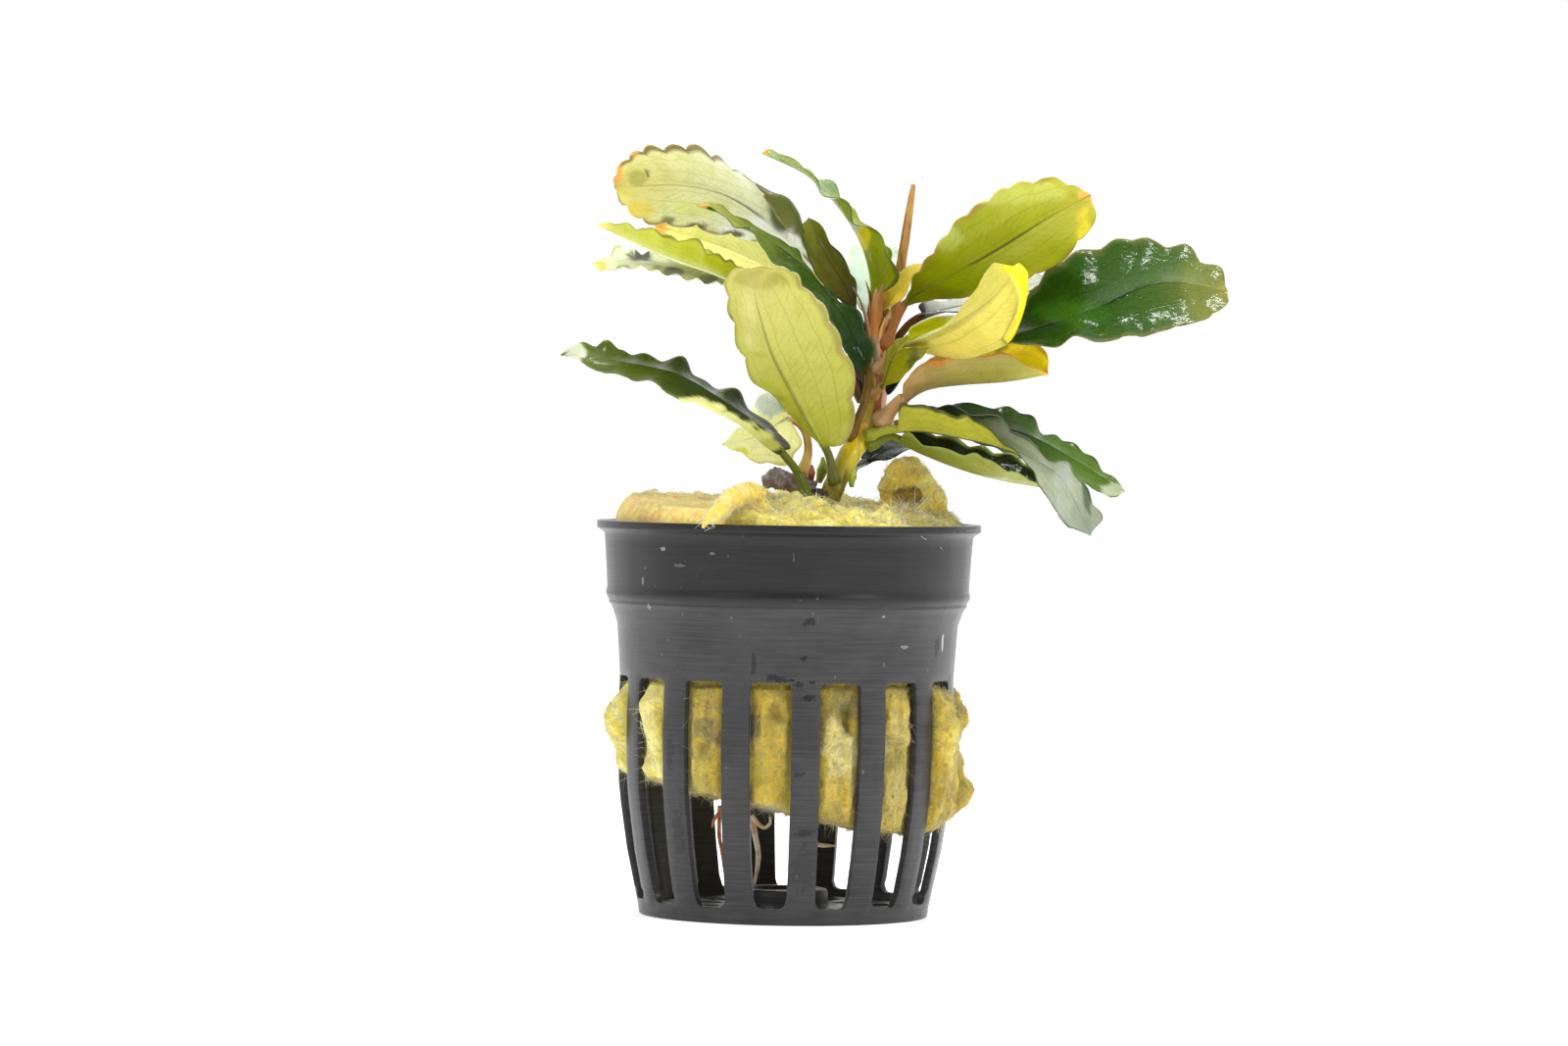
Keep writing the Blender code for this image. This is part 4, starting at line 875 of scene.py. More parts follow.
def leaf_tint(look, points, t, v, under, seed):
    """The colour of each point of a leaf from its place along and across the blade and in the photograph."""
    flat = np.stack([t * 6, v * 2, np.full_like(t, seed * 3.7)], axis=1)
    drift = t + value_noise(flat * 1.3, seed) * 0.08
    tint = stops(look.upper, drift) * (1 - under)[:, None] + stops(look.under, drift) * under[:, None]
    ragged = value_noise(flat * 2.6, seed + 3)
    if look.midrib:
        away = np.abs(v) / (look.midrib_width * (1.2 - 0.9 * t))
        tint = blend(tint, look.midrib, 0.9 * smoothstep(1.0, 0.35, away) * smoothstep(1.02, 0.85, t))
    if look.rim:
        past = np.abs(v) - (0.90 + 0.05 * ragged)
        tint = blend(tint, look.rim, 0.85 * smoothstep(0, 0.06, past) * smoothstep(0.02, 0.1, t))
    if look.tip:
        reach = t + ragged * 0.02
        tint = blend(tint, look.tip, smoothstep(look.tip_from - 0.03, look.tip_from + 0.02, reach))
    seen = to_photo(points)
    for *middle, half_width, half_height, colour, strength in look.patches:
        away = np.hypot(*((seen - middle) / (half_width, half_height)).T)
        tint = blend(tint, colour, strength * smoothstep(1.1, 0.7, away + 0.25 * ragged))
    return blend(tint, look.petiole, smoothstep(0.05, -0.03, t))


def rail(base, points, tip, shares):
    """A margin or a fold line from the blade's base to its tip, at an array of shares."""
    dense = smooth_route([base] + [from_photo(*point) for point in points] + [tip])
    return read_off(np.clip(shares, 0, 1) * (len(dense) - 1), np.arange(len(dense)), dense)


def lobe_count(edge, shares, notches, waves):
    """A number that grows by one from notch to notch along a margin."""
    if len(notches) < 2:
        return waves * shares + 0.5
    seen = to_photo(edge)
    at = sorted(shares[np.hypot(*(seen - np.array(notch)).T).argmin()] for notch in notches)
    at = np.array(at) + np.arange(len(at)) * 1e-4
    count = np.interp(shares, at, np.arange(len(at)))
    before = (shares - at[0]) / (at[1] - at[0])
    after = len(at) - 1 + (shares - at[-1]) / (at[-1] - at[-2])
    return np.where(shares < at[0], before, np.where(shares > at[-1], after, count))


def plain_edge(leaf, centre, along, shares, side_sign):
    """A margin made from a half width and an outline that swells and closes."""
    over = square_to(np.array(leaf.face), along)
    side = np.cross(along, over) * side_sign
    width = leaf.half_width * np.sin(np.pi * np.clip(shares, 1e-6, 1 - 1e-6))[:, None] ** 0.6
    return centre + width * (side * math.cos(BLADE_FOLD) + over * math.sin(BLADE_FOLD))


def half_blade(leaf, centre, along, edge, bend, count, side_sign, seed):
    """One half of a blade's middle sheet, from the midrib to the lobed and rippled margin."""
    reach = edge - centre
    width = np.linalg.norm(reach, axis=1)
    nearest = nearest_of(np.flatnonzero(width > 0.6), len(width))
    side = unit(reach, 1e-6)[nearest]
    normal = unit(np.cross(side, along) * side_sign)
    step = np.linalg.norm(np.gradient(edge, axis=0), axis=1) / np.maximum(np.gradient(count), 1e-4)
    step = np.minimum(step, 6.0) * np.minimum(1.0, width / 2.2)
    ones = np.ones_like(count)
    place = np.stack([np.floor(count), ones * seed * 3.3, ones * side_sign], axis=1)
    wild = 1 + 0.45 * value_noise(place + 0.5, seed)
    lobe = leaf.lobe * step * wild * np.abs(np.sin(np.pi * count)) ** 0.8
    drift = np.stack([count * 0.6, ones * seed * 1.7, ones * side_sign], axis=1)
    wave = leaf.ripple * step * (-wild * np.cos(2 * np.pi * count) + 1.2 * value_noise(drift, seed + 9))
    s = SPREAD[:, None]
    sheet = centre[:, None] + reach[:, None] * s
    if bend is not None:
        side = unit(edge - bend, 1e-6)[nearest]
        pull = bend - (1 - FOLD_SHARE) ** 2 * centre - FOLD_SHARE ** 2 * edge
        pull /= 2 * FOLD_SHARE * (1 - FOLD_SHARE)
        sheet = (1 - s) ** 2 * centre[:, None] + 2 * s * (1 - s) * pull[:, None] + s ** 2 * edge[:, None]
    rise = leaf.cup * 4 * s * (1 - s) * width[:, None, None] + s ** 2.6 * wave[:, None, None]
    return sheet + rise * normal[:, None] + s ** 5 * lobe[:, None, None] * side[:, None]


def make_leaf(name, leaf, seed, skins):
    """A leaf as a thin closed shell: a round petiole that runs out as the midrib, and rippled margins."""
    route = leaf_route(leaf)
    even = np.linspace(0, 1, BLADE_STATIONS)
    eased = 0.6 * even + 0.4 * (0.5 - 0.5 * np.cos(np.pi * even))
    centre, along = on_route(route, leaf.blade + (0.999 - leaf.blade) * eased)
    halves = []
    for side_sign, points, fold_points, notches in ((-1, leaf.left, leaf.left_fold, leaf.left_notches),
                                                    (1, leaf.right, leaf.right_fold, leaf.right_notches)):
        if points:
            edge = rail(centre[0], points, route[-1], eased)
        else:
            edge = plain_edge(leaf, centre, along, eased, side_sign)
        bend = rail(centre[0], fold_points, route[-1], eased) if fold_points else None
        count = lobe_count(edge, eased, notches, leaf.waves)
        halves.append(half_blade(leaf, centre, along, edge, bend, count, side_sign, seed))
    sheet = np.concatenate([halves[0][:, ::-1], halves[1][:, 1:]], axis=1)

    # the blade's own directions, and the midrib's round back
    v = np.concatenate([-SPREAD[::-1], SPREAD[1:]])
    chord = sheet[:, -1] - sheet[:, 0]
    wide = np.flatnonzero(np.linalg.norm(chord, axis=1) > 0.8)
    whole = unit(np.cross(chord, along), 1e-6)[nearest_of(wide, BLADE_STATIONS)]
    normal = np.cross(np.gradient(sheet, axis=1), np.gradient(sheet, axis=0))
    flat = np.linalg.norm(normal, axis=2, keepdims=True) <= 1e-7
    normal = np.where(flat, whole[:, None], unit(normal, 1e-7))
    over = square_to(whole, along)
    side = np.cross(along, over)
    shaft = leaf.petiole * (0.2 + 0.8 * np.exp(-eased / 0.22))
    narrow = shaft[:, None] * np.abs(v) - np.linalg.norm(sheet - centre[:, None], axis=2)
    sheet = sheet + (np.maximum(narrow, 0) * np.sign(v))[..., None] * side[:, None]

    # the petiole, from inside what carries it to the blade
    stalk_share = np.linspace(0, 1, PETIOLE_STATIONS, endpoint=False)
    spine, heading = on_route(route, stalk_share * leaf.blade)
    spine = np.concatenate([spine[0] - heading[0] * [[ROOTED], [ROOTED * 0.4]], spine])
    heading = heading[[0, 0, *range(PETIOLE_STATIONS)]]
    stalk_share = np.concatenate([[0, 0], stalk_share])
    stalk_over = square_to(over[0], heading)
    stalk_radius = leaf.petiole * (1 + FOOT_FLARE * np.exp(-stalk_share / 0.16))
    stalk = spine[:, None] + (stalk_radius[:, None] * v)[..., None] * np.cross(heading, stalk_over)[:, None]

    # both as one shell with an upper and an under side
    sheet = np.concatenate([stalk, sheet])
    normal = np.concatenate([np.repeat(stalk_over[:, None], len(v), axis=1), normal])
    t = np.concatenate([stalk_share - 1.0, eased])
    on = np.clip(t, 0, 1)[:, None]
    radius = np.concatenate([stalk_radius, shaft])[:, None]
    settle = np.clip(on * 9, 0, 1)
    rise = np.sqrt(np.maximum(1 - v ** 2, 0))
    thick = radius * (1 - settle) * rise + BLADE_HALF_THICK * settle * rise ** 0.35 * (1 - 0.5 * on)
    away = np.linalg.norm(sheet - np.concatenate([spine, centre])[:, None], axis=2)
    rib = np.exp(-(away / (0.9 * radius)) ** 2) * radius * settle
    top = sheet + normal * (thick - 0.15 * rib)[..., None]
    low = sheet - normal * (thick + 0.7 * rib)[..., None]
    ring = np.concatenate([top, low[:, -2:0:-1]], axis=1)
    rows, columns = ring.shape[:2]
    inner = len(v) - 2
    numbers = {"along": np.repeat(t, columns), "across": np.tile(np.concatenate([v, v[-2:0:-1]]), rows),
               "under": np.tile([0.5] + [0.0] * inner + [0.5] + [1.0] * inner, rows)}
    points = ring.reshape(-1, 3)
    tint = leaf_tint(leaf.look, points, *numbers.values(), seed)
    make_piece(name + "_fine", points, grid_faces(rows, columns), skins[leaf.look.skin], leaf.look.slot,
               name, tint, **numbers)


# Tubes: stem, shoots and roots


def tube_points(route_points, radii, sides, stations, lumps=0.0, lump_size=1.0, rings=0.0, seed=0):
    """Rings of points round a route, lumpy and ringed as asked."""
    share = np.linspace(0, 1, stations)
    centre, along = on_route(smooth_route(route_points), share)
    side = unit(np.cross(along, [0.2, 0.9, 0.4]))
    over = np.cross(side, along)
    turn = (2 * np.pi * np.arange(sides) / sides)[:, None]
    radius = np.interp(share, np.linspace(0, 1, len(radii)), radii)[:, None, None]
    out = radius * (np.cos(turn) * side[:, None] + np.sin(turn) * over[:, None])
    uneven = fractal((centre[:, None] + out).reshape(-1, 3), lump_size, seed).reshape(stations, sides, 1)
    out = out + out / np.maximum(radius, 0.05) * lumps * uneven
    ringed = 1 + rings * np.cos(2 * np.pi * share * 9)[:, None, None] ** 8
    return (centre[:, None] + out * ringed).reshape(-1, 3)


def make_tube(node, route_points, radii, sides, stations, material, slot, **shape):
    """A closed tube along a route, in place of a node."""
    points = tube_points(route_points, radii, sides, stations, **shape)
    return make_piece(node + "_fine", points, grid_faces(stations, sides), material, slot, node)


# Sheaths that clasp the stem: height of the foot, heading, length, half width, lean from it and colour
SHEATHS = [
    (77.0, -90, 9.5, 1.35, 0.3, (186, 114, 20)), (78.5, -165, 8.0, 0.9, 2.8, (146, 98, 50)),
    (78.5, -30, 5.0, 1.0, 1.6, (244, 188, 120)), (73.5, -95, 6.5, 1.0, 0.3, (126, 112, 72)),
    (66.5, 175, 9.0, 0.8, 0.5, (104, 56, 14)), (68.0, -105, 9.0, 0.6, 0.4, (186, 166, 30)),
    (69.0, -65, 8.0, 0.8, 0.4, (150, 82, 24)), (67.0, -20, 9.5, 1.1, 0.6, (230, 182, 146)),
    (71.0, -50, 7.0, 0.6, 0.8, (186, 108, 54)), (74.5, 150, 7.5, 0.9, 1.0, (140, 96, 44)),
    (81.0, -55, 6.0, 0.8, 0.9, (184, 124, 40)), (81.5, 160, 6.0, 0.8, 1.0, (150, 106, 48)),
    (69.0, 80, 8.0, 1.1, 0.8, (128, 90, 52)), (76.0, 60, 8.0, 1.0, 0.8, (142, 92, 44)),
]
SHEATH_EDGE = (214, 176, 140)
SHEATH_ROWS = 16
SHEATH_SIDES = 12
STEM_SIDES = 28
STEM_STATIONS = 90
STEM_COLOURS = [(112, 106, 4), (164, 152, 6), (228, 204, 14), (232, 190, 50), (228, 178, 130), (176, 134, 78),
                (142, 128, 74), (190, 136, 24), (178, 112, 30)]
FRINGE_ROOTS = 9
FRINGE_SIDES = 8
FRINGE_STATIONS = 14


def sheath_points(height, heading, length, half_width, lean):
    """A curved pointed strip that hugs the stem and leans off it at its tip."""
    share = np.linspace(0, 1, SHEATH_ROWS)
    up = height + share * length
    stem_top = STEM_ROUTE[-1][2]
    centre, radius = stem_at(np.minimum(up, stem_top))
    stand = (radius + 0.22 + lean * share ** 2)[:, None]
    width = (half_width * (1 - share ** 2.5) ** 0.8 + 0.02)[:, None]
    angle = 2 * np.pi * np.arange(SHEATH_SIDES) / SHEATH_SIDES
    turn = math.radians(heading) + np.cos(angle) * width / stand
    out = stand + 0.16 * np.sin(angle) * (1 - 0.7 * share)[:, None]
    rise = np.maximum(up - stem_top, 0)[:, None] + 0 * out
    away = np.stack([np.cos(turn) * out, np.sin(turn) * out, rise], axis=-1)
    return (centre[:, None] + away).reshape(-1, 3)


def make_stem(material):
    """The stem with its sheaths, as one mesh."""
    points = [tube_points(STEM_ROUTE, STEM_RADII, STEM_SIDES, STEM_STATIONS, 0.12, 1.5, 0.05, 3)]
    faces = grid_faces(STEM_STATIONS, STEM_SIDES)
    share = np.repeat(np.linspace(0, 1, STEM_STATIONS), STEM_SIDES)
    ragged = 0.05 * value_noise(points[0] * (1.2, 1.2, 0.3), 8)
    tint = [stops(STEM_COLOURS, np.clip(share + ragged, 0, 1))]
    side = np.tile(np.abs(np.cos(2 * np.pi * np.arange(SHEATH_SIDES) / SHEATH_SIDES)), SHEATH_ROWS)
    tip = np.repeat(np.linspace(0, 1, SHEATH_ROWS), SHEATH_SIDES)
    for *shape, colour in SHEATHS:
        faces += grid_faces(SHEATH_ROWS, SHEATH_SIDES, sum(len(part) for part in points))
        points.append(sheath_points(*shape))
        tint.append(blend(linear(colour), SHEATH_EDGE, np.maximum(0.7 * side ** 5, 0.5 * tip ** 4)))
    points = np.concatenate(points)
    make_piece("stem_fine", points, faces, material, "stem_skin", "stem", np.concatenate(tint))


def make_fringe(material):
    """Short dark rootlets that hang from the rhizome's end and the foot of the stem."""
    points = []
    faces = []
    first = np.array(RHIZOME_ROUTE[3]) + [0, -0.6, -0.2]
    last = np.array(STEM_ROUTE[0]) + [-0.6, -0.6, 1.0]
    for n in range(FRINGE_ROOTS):
        start = first + (last - first) * n / (FRINGE_ROOTS - 1)
        sway = 0.35 * math.sin(2.1 * n)
        end = start + [sway, -1.3, -1.9 - 0.5 * math.sin(3.7 * n)]
        middle = (start + end) / 2 + [-sway, -0.3, 0.2]
        faces += grid_faces(FRINGE_STATIONS, FRINGE_SIDES, n * FRINGE_STATIONS * FRINGE_SIDES)
        points.append(tube_points([start, middle, end], [0.3, 0.24, 0.08], FRINGE_SIDES, FRINGE_STATIONS))
    make_piece("root_fringe", np.concatenate(points), faces, material, "rhizome_skin")


# The pot


def slot_middles():
    return [start + SLOT_PITCH * n for start in GROUP_STARTS for n in range(SLOTS_IN_GROUP)]


def around(angle, radius, height):
    turn = math.radians(angle)
    return radius * math.sin(turn), -radius * math.cos(turn), height


def wall_at(height):
    """Outer and inner radius of the pot at a height."""
    outer, outer_height, inner, inner_height = POT_WALL.T
    return np.interp(height, outer_height, outer), np.interp(height, inner_height, inner)


CORNER_STEPS = [0.0, 0.25, 0.6, 1.1]      # distances from a slot's edge where its rounded corners bend
CORNER_RADIUS = 1.1
POT_HEIGHTS = [0.0, 0.5, FLOOR_THICK, SLOT_BOTTOM, 4.0, 6.5, 9.0, 12.0, 15.0, 18.0, 21.0, 24.0, 27.0, 30.0,
               SLOT_TOP, 34.0, 36.0, 38.0, 40.0, 41.0, 41.7, 42.1, 42.5, 42.8, 43.0, 43.2, 43.4, 43.7, 44.0,
               44.4, 44.8, 45.2, 46.0, 47.0, 49.0, 51.0, 52.2, 52.6, 53.0, 53.3, 53.6, POT_HEIGHT]
FLOOR_RINGS = [HUB_RADIUS, 9.0, 15.5]
WALL_CELL = len(FLOOR_RINGS)
# The six sides of a cell of the pot's grid: the way to the next cell, and the side's corners
CELL_SIDES = [
    ((0, 1, 0), (0, 1, 0), (1, 1, 0), (1, 1, 1), (0, 1, 1)),
    ((0, -1, 0), (0, 0, 0), (0, 0, 1), (1, 0, 1), (1, 0, 0)),
    ((0, 0, 1), (0, 0, 1), (0, 1, 1), (1, 1, 1), (1, 0, 1)),
    ((0, 0, -1), (0, 0, 0), (1, 0, 0), (1, 1, 0), (0, 1, 0)),
    ((1, 0, 0), (1, 0, 0), (1, 0, 1), (1, 1, 1), (1, 1, 0)),
    ((-1, 0, 0), (0, 0, 0), (0, 1, 0), (0, 1, 1), (0, 0, 1)),
]


def pot_columns():
    """Columns round the pot: a slot's middle, -1, 0 or 1 across it, and the distance from its edge.

    On a rib they are the middles of the slots on both sides and the share of the way between them.
    """
    columns = []
    middles = slot_middles()
    for n, middle in enumerate(middles):
        columns += [(middle, -1, step) for step in CORNER_STEPS]
        columns.append((middle, 0, None))
        columns += [(middle, 1, step) for step in reversed(CORNER_STEPS)]
        following = middles[(n + 1) % len(middles)] + (360 if n + 1 == len(middles) else 0)
        rib_parts = 3 if following - middle < SLOT_PITCH + 1 else 5
        columns += [(middle, following, k / rib_parts) for k in range(1, rib_parts)]
    return columns


def column_angle(column, radius):
    middle, across, step = column
    edge = SLOT_PITCH / 2 - math.degrees(RIB_WIDTH / 2 / radius)
    if across in (-1, 1):
        return middle + across * (edge - math.degrees(step / radius))
    if across == 0:
        return middle
    return middle + edge + (across - middle - 2 * edge) * step


def in_slot(column):
    """True where the cell that starts at this column is open in the slotted band."""
    middle, across, step = column
    return across in (-1, 0) or (across == 1 and step > 0)


def corner_lift(column):
    """How far a slot's rounded corner eats into it at this column."""
    middle, across, step = column
    if across not in (-1, 1):
        return 0.0
    return CORNER_RADIUS - math.sqrt(max(CORNER_RADIUS ** 2 - max(CORNER_RADIUS - step, 0.0) ** 2, 0.0))


def make_pot(material):
    """The cup with rounded slots, a stepped band, a rolled lip and a floor with its rings and hub."""
    columns = pot_columns()
    count = len(columns)
    index = {}
    points = []
    faces = []

    def filled(i, j, k):
        open_here = in_slot(columns[i % count])
        if j < 0 or j > WALL_CELL or k < 0 or k >= len(POT_HEIGHTS) - 1:
            return False
        if j < WALL_CELL:
            return k < 2 and not (open_here and j == 1)
        return not (open_here and SLOT_BOTTOM <= POT_HEIGHTS[k] < SLOT_TOP)

    def corner(i, j, k):
        height = POT_HEIGHTS[k]
        outer, inner = wall_at(height)
        outer += 0.24 * math.exp(-((height - 44.1) / 0.55) ** 2)
        outer -= 0.2 * math.exp(-((height - 43.1) / 0.16) ** 2)
        angle = column_angle(columns[i], outer)
        if j < WALL_CELL:
            return around(angle, FLOOR_RINGS[j], height)
        lift = {SLOT_BOTTOM: 1.0, SLOT_TOP: -0.5}.get(height, 0.0) * corner_lift(columns[i])
        return around(angle, inner if j == WALL_CELL else outer, height + lift)

    def vert(i, j, k):
        key = (i % count, j, k)
        if key not in index:
            index[key] = len(points)
            points.append(corner(*key))
        return index[key]

    for i, j, k in np.ndindex(count, WALL_CELL + 1, len(POT_HEIGHTS) - 1):
        for (di, dj, dk), *corners in CELL_SIDES:
            if filled(i, j, k) and j + dj >= 0 and not filled(i + di, j + dj, k + dk):
                faces.append([vert(i + ci, j + cj, k + ck) for ci, cj, ck in corners])
    # the raised hub and its stepped top
    below = [vert(i, 0, 2) for i in range(count)]
    foot_radius = wall_at(FLOOR_THICK)[0]
    for radius, height in ((HUB_RADIUS - 0.1, 2.0), (HUB_RADIUS - 0.2, HUB_HEIGHT - 0.3),
                           (HUB_RADIUS - 0.5, HUB_HEIGHT), (4.6, HUB_HEIGHT), (4.3, HUB_HEIGHT - 0.5),
                           (2.0, HUB_HEIGHT - 0.5)):
        ring = list(range(len(points), len(points) + count))
        points += [around(column_angle(column, foot_radius), radius, height) for column in columns]
        faces += [(below[i - 1], below[i], ring[i], ring[i - 1]) for i in [*range(1, count), 0]]
        below = ring
    faces += [below, [vert(i, 0, 0) for i in reversed(range(count))]]
    pot = make_piece("net_pot_fine", points, faces, material, "pot_plastic", "net_pot")
    bevel = pot.modifiers.new("rounded", "BEVEL")
    bevel.width = 0.22 * MM
    bevel.segments = 2
    bevel.limit_method = "ANGLE"
    bevel.angle_limit = math.radians(40)
    bevel.harden_normals = False


# The rock wool


def wool_foot(x):
    return np.clip(WOOL_FOOT_MID + WOOL_SLOPE * x, WOOL_FOOT_LOW, WOOL_FOOT_HIGH)


def left_band(x):
    """How much a place belongs to the flat layered band on the left."""
    return smoothstep(-6.0, -10.0, x)


def wool_crown(x, y):
    waves = 0.5 * np.sin(0.7 * x + 0.9 * y) + 0.4 * np.sin(0.5 * y - 0.8 * x)
    return 56.7 - 0.07 * x + 0.05 * y + waves * (1 - 0.7 * left_band(x)) - 0.9 * left_band(x)


# Tufts that stand on the wool's top: place across and towards the back, height and reach
TUFTS = [(1.0, -13.0, 2.6, 1.9), (4.0, -15.0, 1.3, 2.0), (-4.0, -15.0, 1.2, 2.2), (13.0, -14.0, 1.4, 1.3),
         (8.5, -17.0, 0.7, 2.0), (17.0, -13.0, 1.2, 2.4), (9.0, 12.0, 1.2, 2.5)]
PLUG_SIDES = 360


def tuft_height(x, y):
    return sum(height * np.exp(-((x - across) ** 2 + (y - back) ** 2) / reach ** 2)
               for across, back, height, reach in TUFTS)


def slot_window(angles):
    """For each angle: which slot it is in, and how open it is there from 0 at the ribs to 1."""
    away = (angles[:, None] - slot_middles() + 180) % 360 - 180
    nearest = np.abs(away).argmin(axis=1)
    half = SLOT_PITCH / 2 - math.degrees(RIB_WIDTH / 2 / 22.5)
    return nearest, smoothstep(0.0, 2.2, half - np.abs(away).min(axis=1))


def make_plug(material):
    """The stuffed wool: flat against the wall, tufted where it swells through the slots."""
    angles = np.arange(PLUG_SIDES) * 360.0 / PLUG_SIDES - 90
    sx = np.sin(np.radians(angles))
    cy = -np.cos(np.radians(angles))
    nearest, openness = slot_window(angles)
    foot = wool_foot(21.0 * sx)
    crown = wool_crown(22.8 * sx, 22.8 * cy)

    def ring(radius, height):
        return np.stack(np.broadcast_arrays(radius * sx, radius * cy, height), axis=1)

    rows = [ring(radius, wool_foot(radius * sx) - 0.5 + 0.9 * fractal(ring(radius, 0.0), 4.0, 5))
            for radius in (2.0, 5.0, 9.0, 13.0, 16.5, 19.0)]
    for share in np.linspace(0, 1, 46):
        height = foot + share * (SLOT_TOP - 0.6 - foot)
        inside = wall_at(height)[1] - WOOL_CLEARANCE
        slump = np.sin(np.pi * share) ** 0.5 * (1 + 0.25 * np.sin(9 * share + 2 * (3 * nearest + 1)))
        radius = inside - 0.5 * (abs(share - 0.5) > 0.49) + WOOL_WADS[nearest] * slump * openness
        base = ring(radius, height)
        lumps = 1.1 * fractal(base, 4.2, 11, 4) + 0.35 * fractal(base, 1.1, 17, 3)
        hollow = smoothstep(0.15, 0.6, fractal(base, 5.0, 23, 2)) * 1.8
        radius = radius + openness * (lumps - hollow) * np.clip(slump, 0.3, 1)
        radius = np.where(openness < 0.05, np.minimum(radius, inside), radius)
        rows.append(ring(radius, height + openness * 0.5 * fractal(base, 2.5, 31)))
    for height in np.linspace(SLOT_TOP + 1, 52.0, 8):
        rows.append(ring(wall_at(height)[1] - WOOL_CLEARANCE, height))
    for share in np.linspace(0.0, 1.0, 12):
        height = 53.0 + share * (crown - 0.5 - 53.0)
        radius = 24.1 - 1.1 * share ** 3
        base = ring(radius, height)
        layered = 0.35 * fractal(base * (1, 1, 0.15), 1.6, 41, 3) + 0.3 * fractal(base, 3.0, 43)
        rows.append(ring(radius + (layered - 0.35) * (0.3 + 0.7 * share), height))
    for radius in (22.3, 21.6, 20.6, 19.4, 18.0, 16.4, 14.6, 12.6, 10.5, 8.3, 6.0, 3.6, 1.4):
        x, y = ring(radius, 0.0).T[:2]
        rough = 0.6 * fractal(ring(radius, 9.0), 3.0, 51, 4) + 0.35 * fractal(ring(radius, 9.0), 0.9, 57)
        top = wool_crown(x, y) + rough * (1 - 0.6 * left_band(x)) + tuft_height(x, y)
        rows.append(ring(radius, top - 0.1))
    faces = grid_faces(len(rows), PLUG_SIDES)
    return make_piece("rock_wool_plug_fine", np.concatenate(rows), faces, material, "rock_wool",
                      "rock_wool_plug")


# The flap's outline and the middle of its hollow, in pixels of the photograph, and its depth
FLAP_OUTLINE = [(893, 497), (897, 506), (900, 515), (905, 528), (915, 537), (935, 541), (955, 541),
                (966, 534), (966, 515), (962, 503), (957, 492), (950, 481), (940, 471), (926, 466),
                (912, 468), (905, 476), (902, 487)]
FLAP_HOLLOW = (926, 506)
FLAP_DEPTH = 0.5
FLAP_ROUNDS = 30


def make_flap(material):
    """The curled ear of wool: a rounded sheet with a deep hollow in its front."""
    outline = [from_photo(*pixel, FLAP_DEPTH) for pixel in FLAP_OUTLINE]
    dense = smooth_route(outline + outline[:1])[:-1:2]
    middle = from_photo(*FLAP_HOLLOW, FLAP_DEPTH)
    rows = []
    for n in [*range(1, FLAP_ROUNDS + 1), *range(1 - FLAP_ROUNDS, 0)]:
        share = abs(n) / FLAP_ROUNDS
        row = middle + (dense - middle) * share
        round_over = math.sqrt(1 - share ** 4)
        if n > 0:
            inside = np.hypot((row[:, 0] - middle[0]) / 2.2, (row[:, 2] - middle[2]) / 1.1)
            row[:, 1] += 3.4 * smoothstep(1.25, 0.7, inside) - 2.4 * round_over
            row[:, 1] += (row[:, 2] - middle[2]) * 0.12
        else:
            row[:, 1] += 1.8 * round_over + 0.6
        rows.append(row)
    points = np.concatenate(rows)
    wild = np.stack([fractal(points, 2.2, seed, 4) for seed in (71, 72, 73)], axis=1)
    points = points + wild * (0.6, 0.9, 0.6) + 0.3 * fractal(points, 1.0, 75, 4)[:, None]
    return make_piece("rock_wool_flap_fine", points, grid_faces(len(rows), len(dense)), material, "rock_wool",
                      "rock_wool_flap")


THREAD_STEPS = 4


def make_threads(name, seats, outward, lengths, material, seed, spread, radius):
    """Loose threads: each a thin curved three-sided taper that lies on the wool and lifts off it."""
    rng = np.random.default_rng(seed)
    count = len(seats)
    flat = square_to(rng.normal(size=(count, 3)), outward)
    heading = unit(flat + outward * np.abs(rng.normal(size=count))[:, None] * spread)
    curl = rng.normal(size=(count, 3)) * 0.35
    across = unit(np.cross(heading, outward), 1e-9)
    other = np.cross(heading, across)
    share = np.linspace(0, 1, THREAD_STEPS)[:, None]
    run = lengths[:, None, None]
    spine = seats[:, None] + heading[:, None] * (run * share) + curl[:, None] * (run * share ** 2)
    turn = (2 * np.pi * np.arange(3) / 3)[:, None]
    ring = np.cos(turn) * across[:, None] + np.sin(turn) * other[:, None]
    points = spine[:, :, None] + radius * (1.15 - share)[:, None] * ring[:, None]
    quads = np.array(grid_faces(THREAD_STEPS, 3)[:-2])
    faces = (np.arange(count)[:, None, None] * (3 * THREAD_STEPS) + quads).reshape(-1, 4)
    make_piece(name, points.reshape(-1, 3), faces.tolist(), material, "rock_wool")


def seats_on(thing, count, seed, keep):
    """Random seats on a piece with their outward directions, where keep(x, y, z, normals) is true."""
    rng = np.random.default_rng(seed)
    middles, normals, areas = read_faces(thing.data)
    weight = areas * keep(*middles.T / MM, normals)
    picked = rng.choice(len(areas), size=count, p=weight / weight.sum())
    return middles[picked] / MM + rng.normal(size=(count, 3)) * 0.12, normals[picked]


def in_slots(x, y, z, normals):
    _, openness = slot_window(np.degrees(np.arctan2(x, -y)))
    out = normals[:, 0] * x + normals[:, 1] * y > 0
    return (z < SLOT_TOP) & ((openness > 0.3) | (z < wool_foot(x) + 0.6)) & (out | (z < 20))


def on_crown(x, y, z, normals):
    return (z > 54.2) & ~((x < -8.5) & (y < 6))


def at_right_rim(x, y, z, normals):
    return (z > 53.6) & (x > 13) & (y < -8)


def anywhere(x, y, z, normals):
    return z > 0


